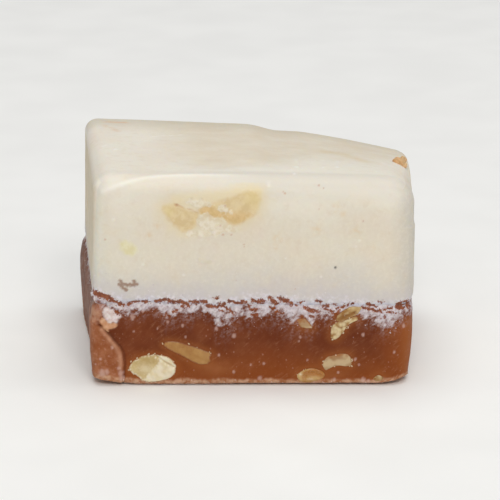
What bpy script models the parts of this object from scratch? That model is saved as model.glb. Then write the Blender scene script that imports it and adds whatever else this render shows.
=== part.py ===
"""A hand-cut cube of two-layer nut fudge: a vanilla layer on a chocolate layer, with chopped peanuts at the cut front.

Metres, +Z up. The cube stands on its flat chocolate base at z = 0, centred over the origin, with the cut face that
shows the nuts towards -Y. All lengths below are millimetres and are turned into metres when a mesh is made.
"""

import math

import bmesh
import bpy
import numpy as np
from mathutils import Vector, noise

MM = 0.001

# The block
WIDTH = 36.4  # along X, before the hand-cut sides splay
DEPTH = 29.0  # along Y
HEIGHT = 24.6  # the base to the flat of the top
SEAM = 9.75  # height of the line between the layers
GAP = 0.3  # clearance between neighbouring solids

# Rounding of the block's edges
SIDE_ROUND = 1.5
BACK_TOP_ROUND = 1.5
FRONT_LEFT_ROUND = 0.9
FRONT_RIGHT_ROUND = 2.3
TOP_ROUND = 2.1
TOP_ROUND_RIGHT = 3.4  # the front edge of the top grows rounder to the right
BASE_ROUND = 0.45
ROUND_BLEND = 12.0  # one rounding passes into the next over this much of the depth

# The knife did not run square: half widths at the corners, at the base and at the top
HALF_WIDTH_BASE = {"front_left": 18.05, "front_right": 18.35, "back_left": 20.85, "back_right": 19.2}
HALF_WIDTH_TOP = {"front_left": 17.4, "front_right": 18.5, "back_left": 20.3, "back_right": 19.2}
BACK_RIGHT_SHORT = 2.6  # the back face comes forward this much at its right end
BACK_LEFT_SPREAD = 0.5  # the chocolate squeezes out this much at the back of the left side
SPREAD_FROM, SPREAD_TO = 0.4, 0.85  # over this share of the depth
SPREAD_BELOW, SPREAD_ABOVE = 6.5, 11.5  # whole under the first height, gone above the second

# The top slopes down to the back right corner
TOP_SLOPE = 1.0
CORNER_SAG = 1.95
CORNER_SAG_START = 0.66  # share of the width where the corner starts to drop
FRONT_FALL = 0.25  # the front edge is this much lower at its right end
BACK_STEP = 0.64  # the back edge drops this much just right of the middle
BACK_STEP_FROM, BACK_STEP_TO = 0.0, 0.2  # over this share of the half width

# The soft body
SEAM_PINCH = 0.35
SEAM_PINCH_REACH = 0.5
FRONT_PINCH_SHARE = 0.3  # the front and back draw in by this share of the pinch
CHOCOLATE_BULGE = 0.1
TOP_CROWN = 0.15
BASE_DRAW = 0.35  # the sides draw in this much at the base
LEFT_CORNER_LIFT, LEFT_LIFT_FROM = 0.9, 12.8  # the front corners of the base rise, from this far out
RIGHT_CORNER_LIFT, RIGHT_LIFT_FROM = 0.8, 14.2
LIFT_DEPTH, LIFT_HEIGHT = 11.0, 6.0  # the lift dies out this far back and this far up
SEAM_WAVE = 0.16
SEAM_FALL = 0.3

# Facets of the two layers along X, Y and Z
CELLS_VANILLA = (14, 11, 8)
CELLS_CHOCOLATE = (14, 11, 7)
EDGE_CLUSTER = 0.62

# Nut pieces cut open at the front face: centre (x, z), half length, half height, half depth, tilt in degrees,
# how far the centre lies behind the face, surface roughness
NUTS_IN_CHOCOLATE = {
    "nut_pale_half": ((-11.0, 2.2), 2.85, 1.72, 2.6, -6.0, 0.5, 0.07),
    "nut_tan_sliver": ((-7.0, 4.15), 2.8, 0.88, 1.6, -18.0, 0.3, 0.05),
    "nut_pale_chip": ((6.3, 7.3), 0.98, 0.68, 0.9, -8.0, 0.2, 0.10),
    "nut_golden_piece": ((10.9, 7.15), 2.15, 0.98, 1.5, 50.0, 0.3, 0.14),
    "nut_tan_block": ((10.05, 3.0), 1.62, 0.95, 1.3, 8.0, 0.3, 0.12),
    "nut_amber_piece": ((6.75, 1.38), 1.62, 0.8, 1.4, -3.0, 0.3, 0.07),
    "nut_low_chip": ((14.55, 1.28), 0.72, 0.42, 0.7, 0.0, 0.15, 0.06),
}
NUTS_IN_VANILLA = {
    "peanut_left_lobe": ((-7.45, 19.75), 2.25, 1.5, 1.5, -8.0, 0.2, 0.08),
    "peanut_right_lobe": ((-1.5, 20.95), 3.15, 1.75, 2.0, 9.0, 0.2, 0.07),
    "nut_lemon_chip": ((-13.85, 16.1), 1.2, 0.85, 0.9, -12.0, 0.2, 0.10),
}

# A crumb of roasted nut sunk into the top of the right side
CRUMB_CENTRE = (17.85, -0.45, 22.72)
CRUMB_HALF = (0.95, 0.8, 0.75)

COLOURS = {
    "vanilla_fudge": ((0.78, 0.71, 0.57, 1.0), 0.42),
    "chocolate_fudge": ((0.20, 0.060, 0.024, 1.0), 0.46),
    "pale_nut": ((0.66, 0.52, 0.31, 1.0), 0.5),
    "tan_nut": ((0.40, 0.22, 0.085, 1.0), 0.42),
    "golden_nut": ((0.42, 0.26, 0.11, 1.0), 0.5),
}
NUT_COLOUR = {
    "nut_pale_half": "pale_nut",
    "nut_tan_sliver": "tan_nut",
    "nut_pale_chip": "pale_nut",
    "nut_golden_piece": "golden_nut",
    "nut_tan_block": "golden_nut",
    "nut_amber_piece": "tan_nut",
    "nut_low_chip": "golden_nut",
    "peanut_left_lobe": "pale_nut",
    "peanut_right_lobe": "pale_nut",
    "nut_lemon_chip": "pale_nut",
    "nut_corner_crumb": "tan_nut",
}


# ---------------------------------------------------------------- the block's form


def between_corners(half_widths, u, v):
    """The half width at a place in plan, where u runs -1 to 1 from left to right and v from front to back."""
    front_left, front_right = half_widths["front_left"], half_widths["front_right"]
    back_left, back_right = half_widths["back_left"], half_widths["back_right"]
    front = 0.5 * ((1 - u) * -front_left + (1 + u) * front_right)
    back = 0.5 * ((1 - u) * -back_left + (1 + u) * back_right)
    return 0.5 * ((1 - v) * front + (1 + v) * back)


def round_the_edges(p):
    """Pulls what lies outside the rounded block back onto its rounded edges and corners."""
    half = np.array([WIDTH / 2, DEPTH / 2, HEIGHT / 2])
    centred = p - np.array([0, 0, HEIGHT / 2])
    to_back = np.clip(centred[:, 1] / ROUND_BLEND + 0.5, 0, 1)
    to_back = to_back**2 * (3 - 2 * to_back)
    across = np.clip(centred[:, 0] / (1.5 * ROUND_BLEND) + 0.5, 0, 1)
    across = across**2 * (3 - 2 * across)
    side = FRONT_LEFT_ROUND + (FRONT_RIGHT_ROUND - FRONT_LEFT_ROUND) * across
    side = side + (SIDE_ROUND - side) * to_back
    to_right = np.clip((centred[:, 0] / half[0] + 0.3) / 1.2, 0, 1)
    top_round = TOP_ROUND + (TOP_ROUND_RIGHT - TOP_ROUND) * to_right
    top_round = top_round + (BACK_TOP_ROUND - top_round) * to_back
    upright = np.where(centred[:, 2] > 0, top_round, BASE_ROUND)
    # near the top the side rounding grows to match, so that the corners are round
    share = np.clip(centred[:, 2] / half[2], 0, 1) ** 4
    side = side + (np.maximum(upright, side) - side) * share
    radii = np.stack([side, side, upright], axis=1)
    inner = np.clip(centred, -(half - radii), half - radii)
    out = (centred - inner) / radii
    length = np.maximum(np.linalg.norm(out, axis=1, keepdims=True), 1.0)
    return inner + out / length * radii + np.array([0, 0, HEIGHT / 2])


def seam_lift(x, y):
    """How far the line between the layers rises above SEAM at a place in plan."""
    wave = (
        np.sin(0.43 * x + 0.8) * 0.6
        + np.sin(0.91 * x - 0.35 * y + 2.1) * 0.4
        + np.sin(0.52 * y + 0.3 * x) * 0.5
    )
    return SEAM_WAVE * wave - SEAM_FALL * x / WIDTH


def block_form(points):
    """Turns points of the plain block into points of the hand-cut cube, in millimetres."""
    p = round_the_edges(np.asarray(points, float))
    x, y, z = p[:, 0], p[:, 1], p[:, 2]
    # the sides draw in a little where the layers meet, and the chocolate bulges below
    pinch = 1 - SEAM_PINCH / (WIDTH / 2) * np.exp(-(((z - SEAM) / SEAM_PINCH_REACH) ** 2))
    bulge = 1 + CHOCOLATE_BULGE / (WIDTH / 2) * np.clip(
        np.sin(math.pi * np.clip(z / SEAM, 0, 1)), 0, 1
    ) * np.clip(np.abs(x) / (WIDTH / 2), 0, 1) ** 2
    draw = 1 - BASE_DRAW / (WIDTH / 2) * np.clip(1 - z / (0.7 * SEAM), 0, 1) ** 1.5
    x = x * pinch * bulge * draw
    y = y * (1 + FRONT_PINCH_SHARE * (pinch - 1))
    u, v, w = x / (WIDTH / 2), y / (DEPTH / 2), z / HEIGHT
    base = between_corners(HALF_WIDTH_BASE, u, v)
    top = between_corners(HALF_WIDTH_TOP, u, v)
    s, t = (u + 1) / 2, (v + 1) / 2
    moved_x = (1 - w) * base + w * top
    spread = np.clip((t - SPREAD_FROM) / (SPREAD_TO - SPREAD_FROM), 0, 1)
    low = np.clip((SPREAD_ABOVE - z) / (SPREAD_ABOVE - SPREAD_BELOW), 0, 1)
    moved_x = moved_x - BACK_LEFT_SPREAD * spread**2 * (3 - 2 * spread) * low**2 * (3 - 2 * low) * np.clip(-u, 0, 1) ** 2
    moved_y = y - BACK_RIGHT_SHORT * np.clip(s, 0, 1) ** 2 * np.clip(t, 0, 1)
    sag = TOP_SLOPE * s * t + FRONT_FALL * s
    sag = sag + CORNER_SAG * t * (np.clip(s - CORNER_SAG_START, 0, 1) / (1 - CORNER_SAG_START)) ** 1.25
    step = np.clip((u - BACK_STEP_FROM) / (BACK_STEP_TO - BACK_STEP_FROM), 0, 1)
    sag = sag + BACK_STEP * t * step * step * (3 - 2 * step)
    crown = TOP_CROWN * (1 - np.clip(u * u, 0, 1)) * (1 - np.clip(v * v, 0, 1))
    near_seam = np.exp(-(((z - SEAM) / 2.6) ** 2)) * np.clip(z / SEAM, 0, 1) ** 0.5
    moved_z = z - sag * w**2 + crown * w**3 + seam_lift(x, y) * near_seam
    # the two front corners of the base stand off what the cube rests on
    lift = LEFT_CORNER_LIFT * np.clip((-x - LEFT_LIFT_FROM) / (WIDTH / 2 - LEFT_LIFT_FROM), 0, 1) ** 1.3
    lift = lift + RIGHT_CORNER_LIFT * np.clip((x - RIGHT_LIFT_FROM) / (WIDTH / 2 - RIGHT_LIFT_FROM), 0, 1) ** 1.5
    lift = lift * np.clip(1 - t * DEPTH / LIFT_DEPTH, 0, 1) ** 1.5 * np.clip(1 - z / LIFT_HEIGHT, 0, 1) ** 1.5
    return np.stack([moved_x, moved_y, np.where(z <= 0, 0.0, moved_z) + lift], axis=1)


def centre_of_block():
    """Middle of the finished block in plan, so that it can be set over the origin."""
    steps = np.linspace(-1, 1, 41)
    rim = [(a, b, c) for a in steps for b in (-1, 1) for c in steps]
    rim += [(b, a, c) for a in steps for b in (-1, 1) for c in steps]
    plain = np.array(
        [(a * WIDTH / 2, b * DEPTH / 2, (c + 1) * HEIGHT / 2) for a, b, c in rim]
    )
    form = block_form(plain)
    low, high = form.min(axis=0), form.max(axis=0)
    return np.array([(low[0] + high[0]) / 2, (low[1] + high[1]) / 2, 0.0])


CENTRE = centre_of_block()


# ---------------------------------------------------------------- making objects


def collection_named(name, parent=None):
    made = bpy.data.collections.new(name)
    (parent or bpy.context.scene.collection).children.link(made)
    return made


def material_named(name):
    colour, roughness = COLOURS[name]
    made = bpy.data.materials.new(name)
    made.use_nodes = True
    shader = next(n for n in made.node_tree.nodes if n.type == "BSDF_PRINCIPLED")
    shader.inputs["Base Color"].default_value = colour
    shader.inputs["Roughness"].default_value = roughness
    shader.inputs["Metallic"].default_value = 0.0
    made.diffuse_color = colour
    return made


def object_from(name, mesh_maker, collection):
    mesh = bpy.data.meshes.new(name)
    mesh_maker.normal_update()
    mesh_maker.to_mesh(mesh)
    mesh_maker.free()
    made = bpy.data.objects.new(name, mesh)
    collection.objects.link(made)
    return made


def shade(made):
    made.data.shade_smooth()
    made.data.set_sharp_from_angle(angle=math.radians(40))


def as_cutter(made):
    made.hide_render = True
    made.display_type = "WIRE"


def slab(name, low_z, high_z, cells, collection):
    """One layer of the block: a cube primitive, cut into cells that crowd towards the edges, set to the block's form."""
    maker = bmesh.new()
    bmesh.ops.create_cube(maker, size=2.0)
    for axis, count in enumerate(cells):
        along = [
            e
            for e in maker.edges
            if abs((e.verts[0].co - e.verts[1].co)[axis]) > 1.0
        ]
        bmesh.ops.subdivide_edges(maker, edges=along, cuts=count - 1, use_grid_fill=True)
    unit = np.array([v.co[:] for v in maker.verts])
    crowded = (1 - EDGE_CLUSTER) * unit + EDGE_CLUSTER * np.sin(unit * math.pi / 2)
    plain = crowded * np.array([WIDTH / 2, DEPTH / 2, (high_z - low_z) / 2])
    plain[:, 2] += (high_z + low_z) / 2
    for vertex, place in zip(maker.verts, block_form(plain) - CENTRE):
        vertex.co = Vector(place) * MM
    bmesh.ops.recalc_face_normals(maker, faces=maker.faces)
    made = object_from(name, maker, collection)
    shade(made)
    return made


def front_face_y(x, z):
    """Where the front face lies behind a point (x, z) of the finished cube, before centring."""
    return block_form(np.array([[x, -DEPTH / 2, z]]))[0][1]


def nut(name, spec, grow, collection):
    """A chopped nut piece: a round primitive, stretched, tilted and made uneven. grow swells it for its pocket."""
    (x, z), half_length, half_height, half_depth, tilt, behind, rough = spec
    maker = bmesh.new()
    bmesh.ops.create_uvsphere(maker, u_segments=18, v_segments=10, radius=1.0)
    turn = math.radians(tilt)
    seed = Vector((x * 0.7, z * 1.3, half_length))
    y = front_face_y(x, z) + behind
    for vertex in maker.verts:
        direction = vertex.co.copy()
        uneven = 1 + rough * noise.noise(direction * 1.7 + seed) * 2
        # a chopped piece is flatter than an egg: its ends are blunted
        blunt = Vector([math.copysign(abs(c) ** 0.85, c) for c in direction])
        local = Vector(
            (
                blunt.x * half_length * uneven + direction.x * grow,
                blunt.y * half_depth * uneven + direction.y * grow,
                blunt.z * half_height * uneven + direction.z * grow,
            )
        )
        across = local.x * math.cos(turn) - local.z * math.sin(turn)
        up = local.x * math.sin(turn) + local.z * math.cos(turn)
        vertex.co = Vector(
            (x + across - CENTRE[0], y + local.y - CENTRE[1], z + up)
        ) * MM
    made = object_from(name, maker, collection)
    shade(made)
    return made


def crumb(name, grow, collection):
    maker = bmesh.new()
    bmesh.ops.create_icosphere(maker, subdivisions=2, radius=1.0)
    for vertex in maker.verts:
        direction = vertex.co.copy()
        uneven = 1 + 0.3 * noise.noise(direction * 1.4 + Vector((3.1, 0.4, 7.7)))
        vertex.co = Vector(
            [
                (CRUMB_CENTRE[i] - CENTRE[i] + direction[i] * (CRUMB_HALF[i] * uneven + grow)) * MM
                for i in range(3)
            ]
        )
    made = object_from(name, maker, collection)
    shade(made)
    return made


def cut(made, cutter, operation, name):
    modifier = made.modifiers.new(name, "BOOLEAN")
    modifier.object = cutter
    modifier.operation = operation
    modifier.solver = "EXACT"


# ---------------------------------------------------------------- the cube

for old in list(bpy.data.objects):
    bpy.data.objects.remove(old, do_unlink=True)

cube = collection_named("nut_fudge_cube")
cutters = collection_named("nut_fudge_cube_cutters")
materials = {name: material_named(name) for name in COLOURS}

anchor = bpy.data.objects.new("fudge_cube_anchor", None)
cube.objects.link(anchor)

chocolate = slab("chocolate_layer", 0.0, SEAM - GAP / 2, CELLS_CHOCOLATE, cube)
vanilla = slab("vanilla_layer", SEAM + GAP / 2, HEIGHT, CELLS_VANILLA, cube)
chocolate.data.materials.append(materials["chocolate_fudge"])
vanilla.data.materials.append(materials["vanilla_fudge"])

for layer, nuts, low, high, cells in (
    (chocolate, NUTS_IN_CHOCOLATE, 0.0, SEAM - GAP / 2, CELLS_CHOCOLATE),
    (vanilla, NUTS_IN_VANILLA, SEAM + GAP / 2, HEIGHT, CELLS_VANILLA),
):
    whole = slab(layer.name + "_whole", low, high, cells, cutters)
    as_cutter(whole)
    for name, spec in nuts.items():
        piece = nut(name, spec, 0.0, cube)
        piece.data.materials.append(materials[NUT_COLOUR[name]])
        cut(piece, whole, "INTERSECT", "Cut flush with the face")
        piece.parent = anchor
        pocket = nut(name + "_pocket", spec, GAP, cutters)
        as_cutter(pocket)
        cut(layer, pocket, "DIFFERENCE", "Pocket of " + name)
    layer.parent = anchor

loose = crumb("nut_corner_crumb", 0.0, cube)
loose.data.materials.append(materials[NUT_COLOUR["nut_corner_crumb"]])
loose.parent = anchor
dent = crumb("nut_corner_crumb_dent", GAP, cutters)
as_cutter(dent)
cut(vanilla, dent, "DIFFERENCE", "Dent of the crumb")
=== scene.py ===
import math

import bpy
import numpy as np
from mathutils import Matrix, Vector


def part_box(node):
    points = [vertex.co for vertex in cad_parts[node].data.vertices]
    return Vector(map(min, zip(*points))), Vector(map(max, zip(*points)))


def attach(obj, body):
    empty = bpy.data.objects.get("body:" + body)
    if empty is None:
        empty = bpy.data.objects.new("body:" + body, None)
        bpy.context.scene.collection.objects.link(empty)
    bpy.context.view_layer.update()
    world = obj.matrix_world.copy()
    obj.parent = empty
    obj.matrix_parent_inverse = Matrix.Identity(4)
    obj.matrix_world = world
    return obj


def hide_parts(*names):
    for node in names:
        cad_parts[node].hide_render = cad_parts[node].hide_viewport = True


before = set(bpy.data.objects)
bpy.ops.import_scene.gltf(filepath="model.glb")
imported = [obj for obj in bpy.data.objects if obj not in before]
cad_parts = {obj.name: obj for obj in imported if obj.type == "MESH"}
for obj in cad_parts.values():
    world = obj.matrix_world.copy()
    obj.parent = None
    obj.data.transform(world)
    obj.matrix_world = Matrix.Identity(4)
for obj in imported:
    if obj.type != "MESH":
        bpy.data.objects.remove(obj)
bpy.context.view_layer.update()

MM = 0.001

# ================================================================ the block's form, as the CAD has it (millimetres)

WIDTH, DEPTH, HEIGHT, SEAM = 36.4, 29.0, 24.6, 9.75
ROUND_BLEND = 12.0
SIDE_ROUND, BACK_TOP_ROUND, FRONT_LEFT_ROUND, FRONT_RIGHT_ROUND, TOP_ROUND, TOP_ROUND_RIGHT, BASE_ROUND = 1.5, 1.5, 0.9, 2.3, 2.1, 3.4, 0.45
BASE_LEFT, BASE_RIGHT = (18.05, 20.85), (18.35, 19.2)  # half widths at the base: front, back
TOP_LEFT, TOP_RIGHT = (17.4, 20.3), (18.5, 19.2)
BACK_RIGHT_SHORT = 2.6
BACK_LEFT_SPREAD, SPREAD_FROM, SPREAD_TO, SPREAD_BELOW, SPREAD_ABOVE = 0.5, 0.4, 0.85, 6.5, 11.5
TOP_SLOPE, CORNER_SAG, CORNER_SAG_START, FRONT_FALL = 1.0, 1.95, 0.66, 0.25
BACK_STEP, BACK_STEP_FROM, BACK_STEP_TO = 0.64, 0.0, 0.2
SEAM_PINCH, SEAM_PINCH_REACH, CHOCOLATE_BULGE, TOP_CROWN, BASE_DRAW = 0.35, 0.5, 0.1, 0.15, 0.35
LEFT_CORNER_LIFT, LEFT_LIFT_FROM, RIGHT_CORNER_LIFT, RIGHT_LIFT_FROM, LIFT_DEPTH, LIFT_HEIGHT = 0.9, 12.8, 0.8, 14.2, 11.0, 6.0
SEAM_WAVE, SEAM_FALL, FRONT_PINCH_SHARE = 0.16, 0.3, 0.3


def smooth(a, b, x):
    t = np.clip((x - a) / (b - a), 0, 1)
    return t * t * (3 - 2 * t)


def between_corners(left, right, u, v):
    front = 0.5 * ((1 - u) * -left[0] + (1 + u) * right[0])
    back = 0.5 * ((1 - u) * -left[1] + (1 + u) * right[1])
    return 0.5 * ((1 - v) * front + (1 + v) * back)


def round_the_edges(p):
    half = np.array([WIDTH / 2, DEPTH / 2, HEIGHT / 2])
    centred = p - np.array([0, 0, HEIGHT / 2])
    to_back = np.clip(centred[:, 1] / ROUND_BLEND + 0.5, 0, 1)
    to_back = to_back**2 * (3 - 2 * to_back)
    across = np.clip(centred[:, 0] / (1.5 * ROUND_BLEND) + 0.5, 0, 1)
    across = across**2 * (3 - 2 * across)
    side = FRONT_LEFT_ROUND + (FRONT_RIGHT_ROUND - FRONT_LEFT_ROUND) * across
    side = side + (SIDE_ROUND - side) * to_back
    to_right = np.clip((centred[:, 0] / half[0] + 0.3) / 1.2, 0, 1)
    top_round = TOP_ROUND + (TOP_ROUND_RIGHT - TOP_ROUND) * to_right
    top_round = top_round + (BACK_TOP_ROUND - top_round) * to_back
    upright = np.where(centred[:, 2] > 0, top_round, BASE_ROUND)
    share = np.clip(centred[:, 2] / half[2], 0, 1) ** 4
    side = side + (np.maximum(upright, side) - side) * share
    radii = np.stack([side, side, upright], axis=1)
    inner = np.clip(centred, -(half - radii), half - radii)
    out = (centred - inner) / radii
    length = np.maximum(np.linalg.norm(out, axis=1, keepdims=True), 1.0)
    return inner + out / length * radii + np.array([0, 0, HEIGHT / 2])


def seam_lift(x, y):
    wave = (
        np.sin(0.43 * x + 0.8) * 0.6
        + np.sin(0.91 * x - 0.35 * y + 2.1) * 0.4
        + np.sin(0.52 * y + 0.3 * x) * 0.5
    )
    return SEAM_WAVE * wave - SEAM_FALL * x / WIDTH


def block_form(points):
    p = round_the_edges(np.asarray(points, float))
    x, y, z = p[:, 0], p[:, 1], p[:, 2]
    pinch = 1 - SEAM_PINCH / (WIDTH / 2) * np.exp(-(((z - SEAM) / SEAM_PINCH_REACH) ** 2))
    bulge = 1 + CHOCOLATE_BULGE / (WIDTH / 2) * np.clip(
        np.sin(math.pi * np.clip(z / SEAM, 0, 1)), 0, 1
    ) * np.clip(np.abs(x) / (WIDTH / 2), 0, 1) ** 2
    draw = 1 - BASE_DRAW / (WIDTH / 2) * np.clip(1 - z / (0.7 * SEAM), 0, 1) ** 1.5
    x = x * pinch * bulge * draw
    y = y * (1 + FRONT_PINCH_SHARE * (pinch - 1))
    u, v, w = x / (WIDTH / 2), y / (DEPTH / 2), z / HEIGHT
    base = between_corners(BASE_LEFT, BASE_RIGHT, u, v)
    top = between_corners(TOP_LEFT, TOP_RIGHT, u, v)
    s, t = (u + 1) / 2, (v + 1) / 2
    moved_x = (1 - w) * base + w * top
    spread = np.clip((t - SPREAD_FROM) / (SPREAD_TO - SPREAD_FROM), 0, 1)
    low = np.clip((SPREAD_ABOVE - z) / (SPREAD_ABOVE - SPREAD_BELOW), 0, 1)
    moved_x = moved_x - BACK_LEFT_SPREAD * spread**2 * (3 - 2 * spread) * low**2 * (3 - 2 * low) * np.clip(-u, 0, 1) ** 2
    moved_y = y - BACK_RIGHT_SHORT * np.clip(s, 0, 1) ** 2 * np.clip(t, 0, 1)
    sag = TOP_SLOPE * s * t + FRONT_FALL * s
    sag = sag + CORNER_SAG * t * (np.clip(s - CORNER_SAG_START, 0, 1) / (1 - CORNER_SAG_START)) ** 1.25
    step = np.clip((u - BACK_STEP_FROM) / (BACK_STEP_TO - BACK_STEP_FROM), 0, 1)
    sag = sag + BACK_STEP * t * step * step * (3 - 2 * step)
    crown = TOP_CROWN * (1 - np.clip(u * u, 0, 1)) * (1 - np.clip(v * v, 0, 1))
    near_seam = np.exp(-(((z - SEAM) / 2.6) ** 2)) * np.clip(z / SEAM, 0, 1) ** 0.5
    moved_z = z - sag * w**2 + crown * w**3 + seam_lift(x, y) * near_seam
    # the two front corners of the base stand off what the cube rests on
    lift = LEFT_CORNER_LIFT * np.clip((-x - LEFT_LIFT_FROM) / (WIDTH / 2 - LEFT_LIFT_FROM), 0, 1) ** 1.3
    lift = lift + RIGHT_CORNER_LIFT * np.clip((x - RIGHT_LIFT_FROM) / (WIDTH / 2 - RIGHT_LIFT_FROM), 0, 1) ** 1.5
    lift = lift * np.clip(1 - t * DEPTH / LIFT_DEPTH, 0, 1) ** 1.5 * np.clip(1 - z / LIFT_HEIGHT, 0, 1) ** 1.5
    return np.stack([moved_x, moved_y, np.where(z <= 0, 0.0, moved_z) + lift], axis=1)


def centre_of_block():
    steps = np.linspace(-1, 1, 41)
    rim = [(a, b, c) for a in steps for b in (-1, 1) for c in steps]
    rim += [(b, a, c) for a in steps for b in (-1, 1) for c in steps]
    plain = np.array([(a * WIDTH / 2, b * DEPTH / 2, (c + 1) * HEIGHT / 2) for a, b, c in rim])
    form = block_form(plain)
    low, high = form.min(axis=0), form.max(axis=0)
    return np.array([(low[0] + high[0]) / 2, (low[1] + high[1]) / 2, 0.0])


CENTRE = centre_of_block()

# ================================================================ noise

GRADIENTS = np.array(
    [(1, 1, 0), (-1, 1, 0), (1, -1, 0), (-1, -1, 0), (1, 0, 1), (-1, 0, 1), (1, 0, -1), (-1, 0, -1),
     (0, 1, 1), (0, -1, 1), (0, 1, -1), (0, -1, -1), (1, 1, 0), (-1, 1, 0), (0, -1, 1), (0, -1, -1)],
    float,
)


def hashed(ix, iy, iz, seed):
    h = (ix * 73856093) ^ (iy * 19349663) ^ (iz * 83492791) ^ (seed * 40503 + 977)
    h = h & 0xFFFFFFFF
    h = ((h ^ (h >> 16)) * 0x45D9F3B) & 0xFFFFFFFF
    h = ((h ^ (h >> 16)) * 0x45D9F3B) & 0xFFFFFFFF
    return h ^ (h >> 16)


def noise(x, y, z, seed=0):
    """Gradient noise, about -1 to 1."""
    x, y, z = np.broadcast_arrays(np.asarray(x, float), np.asarray(y, float), np.asarray(z, float))
    x0, y0, z0 = np.floor(x), np.floor(y), np.floor(z)
    fx, fy, fz = x - x0, y - y0, z - z0
    ix, iy, iz = x0.astype(np.int64), y0.astype(np.int64), z0.astype(np.int64)
    sx, sy, sz = (t * t * t * (t * (t * 6 - 15) + 10) for t in (fx, fy, fz))
    total = 0
    for dx in (0, 1):
        wx = sx if dx else 1 - sx
        for dy in (0, 1):
            wy = sy if dy else 1 - sy
            for dz in (0, 1):
                wz = sz if dz else 1 - sz
                g = GRADIENTS[hashed(ix + dx, iy + dy, iz + dz, seed) & 15]
                total = total + wx * wy * wz * (
                    g[..., 0] * (fx - dx) + g[..., 1] * (fy - dy) + g[..., 2] * (fz - dz)
                )
    return total * 1.05


def fbm(x, y, z, seed=0, octaves=4, gain=0.5):
    total, size, norm = 0, 1.0, 0.0
    for octave in range(octaves):
        k = 2.03**octave
        total = total + size * noise(x * k + 7.3 * octave, y * k - 3.1 * octave, z * k + 5.7 * octave, seed + octave)
        norm += size
        size *= gain
    return total / norm


def lumps(x, z, cell, seed=0, y=None):
    """Rounded lumps on a jittered lattice: 1 at a lump's middle, 0 in the gaps between them."""
    u, v = x / cell, z / cell
    w = np.zeros_like(u) if y is None else y / cell
    iu, iv, iw = np.floor(u).astype(np.int64), np.floor(v).astype(np.int64), np.floor(w).astype(np.int64)
    best = np.full(u.shape, 9.0)
    for du in (-1, 0, 1):
        for dv in (-1, 0, 1):
            for dw in (0,) if y is None else (-1, 0, 1):
                a, b, c = iu + du, iv + dv, iw + dw
                ru = (hashed(a, b, c, seed) & 0xFFFF) / 65535.0
                rv = (hashed(a, b, c, seed + 51) & 0xFFFF) / 65535.0
                rw = (hashed(a, b, c, seed + 97) & 0xFFFF) / 65535.0
                d = (a + ru - u) ** 2 + (b + rv - v) ** 2
                if y is not None:
                    d = d + (c + rw - w) ** 2
                best = np.minimum(best, d)
    return np.clip(1 - np.sqrt(best) / 0.8, 0, 1)


def in_outline(x, z, outline):
    """Signed distance to a closed outline, in millimetres: positive inside."""
    pts = np.array(outline, float)
    best = np.full(np.shape(x), 1e9)
    inside = np.zeros(np.shape(x), bool)
    for (ax, az), (bx, bz) in zip(pts, np.roll(pts, -1, axis=0)):
        ex, ez = bx - ax, bz - az
        t = np.clip(((x - ax) * ex + (z - az) * ez) / (ex * ex + ez * ez + 1e-12), 0, 1)
        best = np.minimum(best, np.hypot(x - ax - t * ex, z - az - t * ez))
        crosses = (az > z) != (bz > z)
        with np.errstate(divide="ignore", invalid="ignore"):
            at = ax + (z - az) / (bz - az) * (bx - ax)
        inside ^= crosses & (x < at)
    return np.where(inside, best, -best)


def to_line(x, z, line):
    """Distance to an open line of points, in millimetres."""
    pts = np.array(line, float)
    best = np.full(np.shape(x), 1e9)
    for (ax, az), (bx, bz) in zip(pts[:-1], pts[1:]):
        ex, ez = bx - ax, bz - az
        t = np.clip(((x - ax) * ex + (z - az) * ez) / (ex * ex + ez * ez + 1e-12), 0, 1)
        best = np.minimum(best, np.hypot(x - ax - t * ex, z - az - t * ez))
    return best


def round_outline(points, count):
    """A smooth closed curve through a few corner points (Catmull-Rom), as count points."""
    pts = np.array(points, float)
    n = len(pts)
    t = np.linspace(0, n, count, endpoint=False)
    i = np.floor(t).astype(int)
    f = (t - i)[:, None]
    p0, p1, p2, p3 = pts[(i - 1) % n], pts[i % n], pts[(i + 1) % n], pts[(i + 2) % n]
    return 0.5 * (2 * p1 + (p2 - p0) * f + (2 * p0 - 5 * p1 + 4 * p2 - p3) * f**2 + (3 * p1 - p0 - 3 * p2 + p3) * f**3)


# ================================================================ the sides of the block

SIDES = {  # fixed axis, its value, and the two axes that run over the side, so that their cross product points out
    "front": (1, -DEPTH / 2, 0, 2),
    "back": (1, DEPTH / 2, 2, 0),
    "left": (0, -WIDTH / 2, 2, 1),
    "right": (0, WIDTH / 2, 1, 2),
    "top": (2, HEIGHT, 0, 1),
    "base": (2, 0.0, 1, 0),
}


def normals_at(plain, side):
    """Outward normals of the block's form at points of one side of the plain block."""
    _, _, a, b = SIDES[side]
    step = 0.02
    da, db = np.zeros(3), np.zeros(3)
    da[a], db[b] = step, step
    ta = block_form(plain + da) - block_form(plain - da)
    tb = block_form(plain + db) - block_form(plain - db)
    n = np.cross(ta, tb)
    return n / np.maximum(np.linalg.norm(n, axis=1, keepdims=True), 1e-12)


def side_of(plain):
    """Which side each point of the plain block's surface lies on."""
    names = np.full(len(plain), "top", dtype="<U5")
    e = 1e-6
    names[plain[:, 2] < e] = "base"
    names[plain[:, 0] > WIDTH / 2 - e] = "right"
    names[plain[:, 0] < -WIDTH / 2 + e] = "left"
    names[plain[:, 1] > DEPTH / 2 - e] = "back"
    names[plain[:, 1] < -DEPTH / 2 + e] = "front"
    return names


def on_front(x, z):
    """Points of the plain block's front whose finished places are x across and z up."""
    x, z = np.atleast_1d(np.asarray(x, float)), np.atleast_1d(np.asarray(z, float))
    px, pz = x * 1.01, z.copy()
    for _ in range(4):
        f = block_form(np.stack([px, np.full_like(px, -DEPTH / 2), pz], axis=1))
        px, pz = px + (x - f[:, 0]), pz + (z - f[:, 2])
    return np.stack([px, np.full_like(px, -DEPTH / 2), pz], axis=1)


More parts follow.
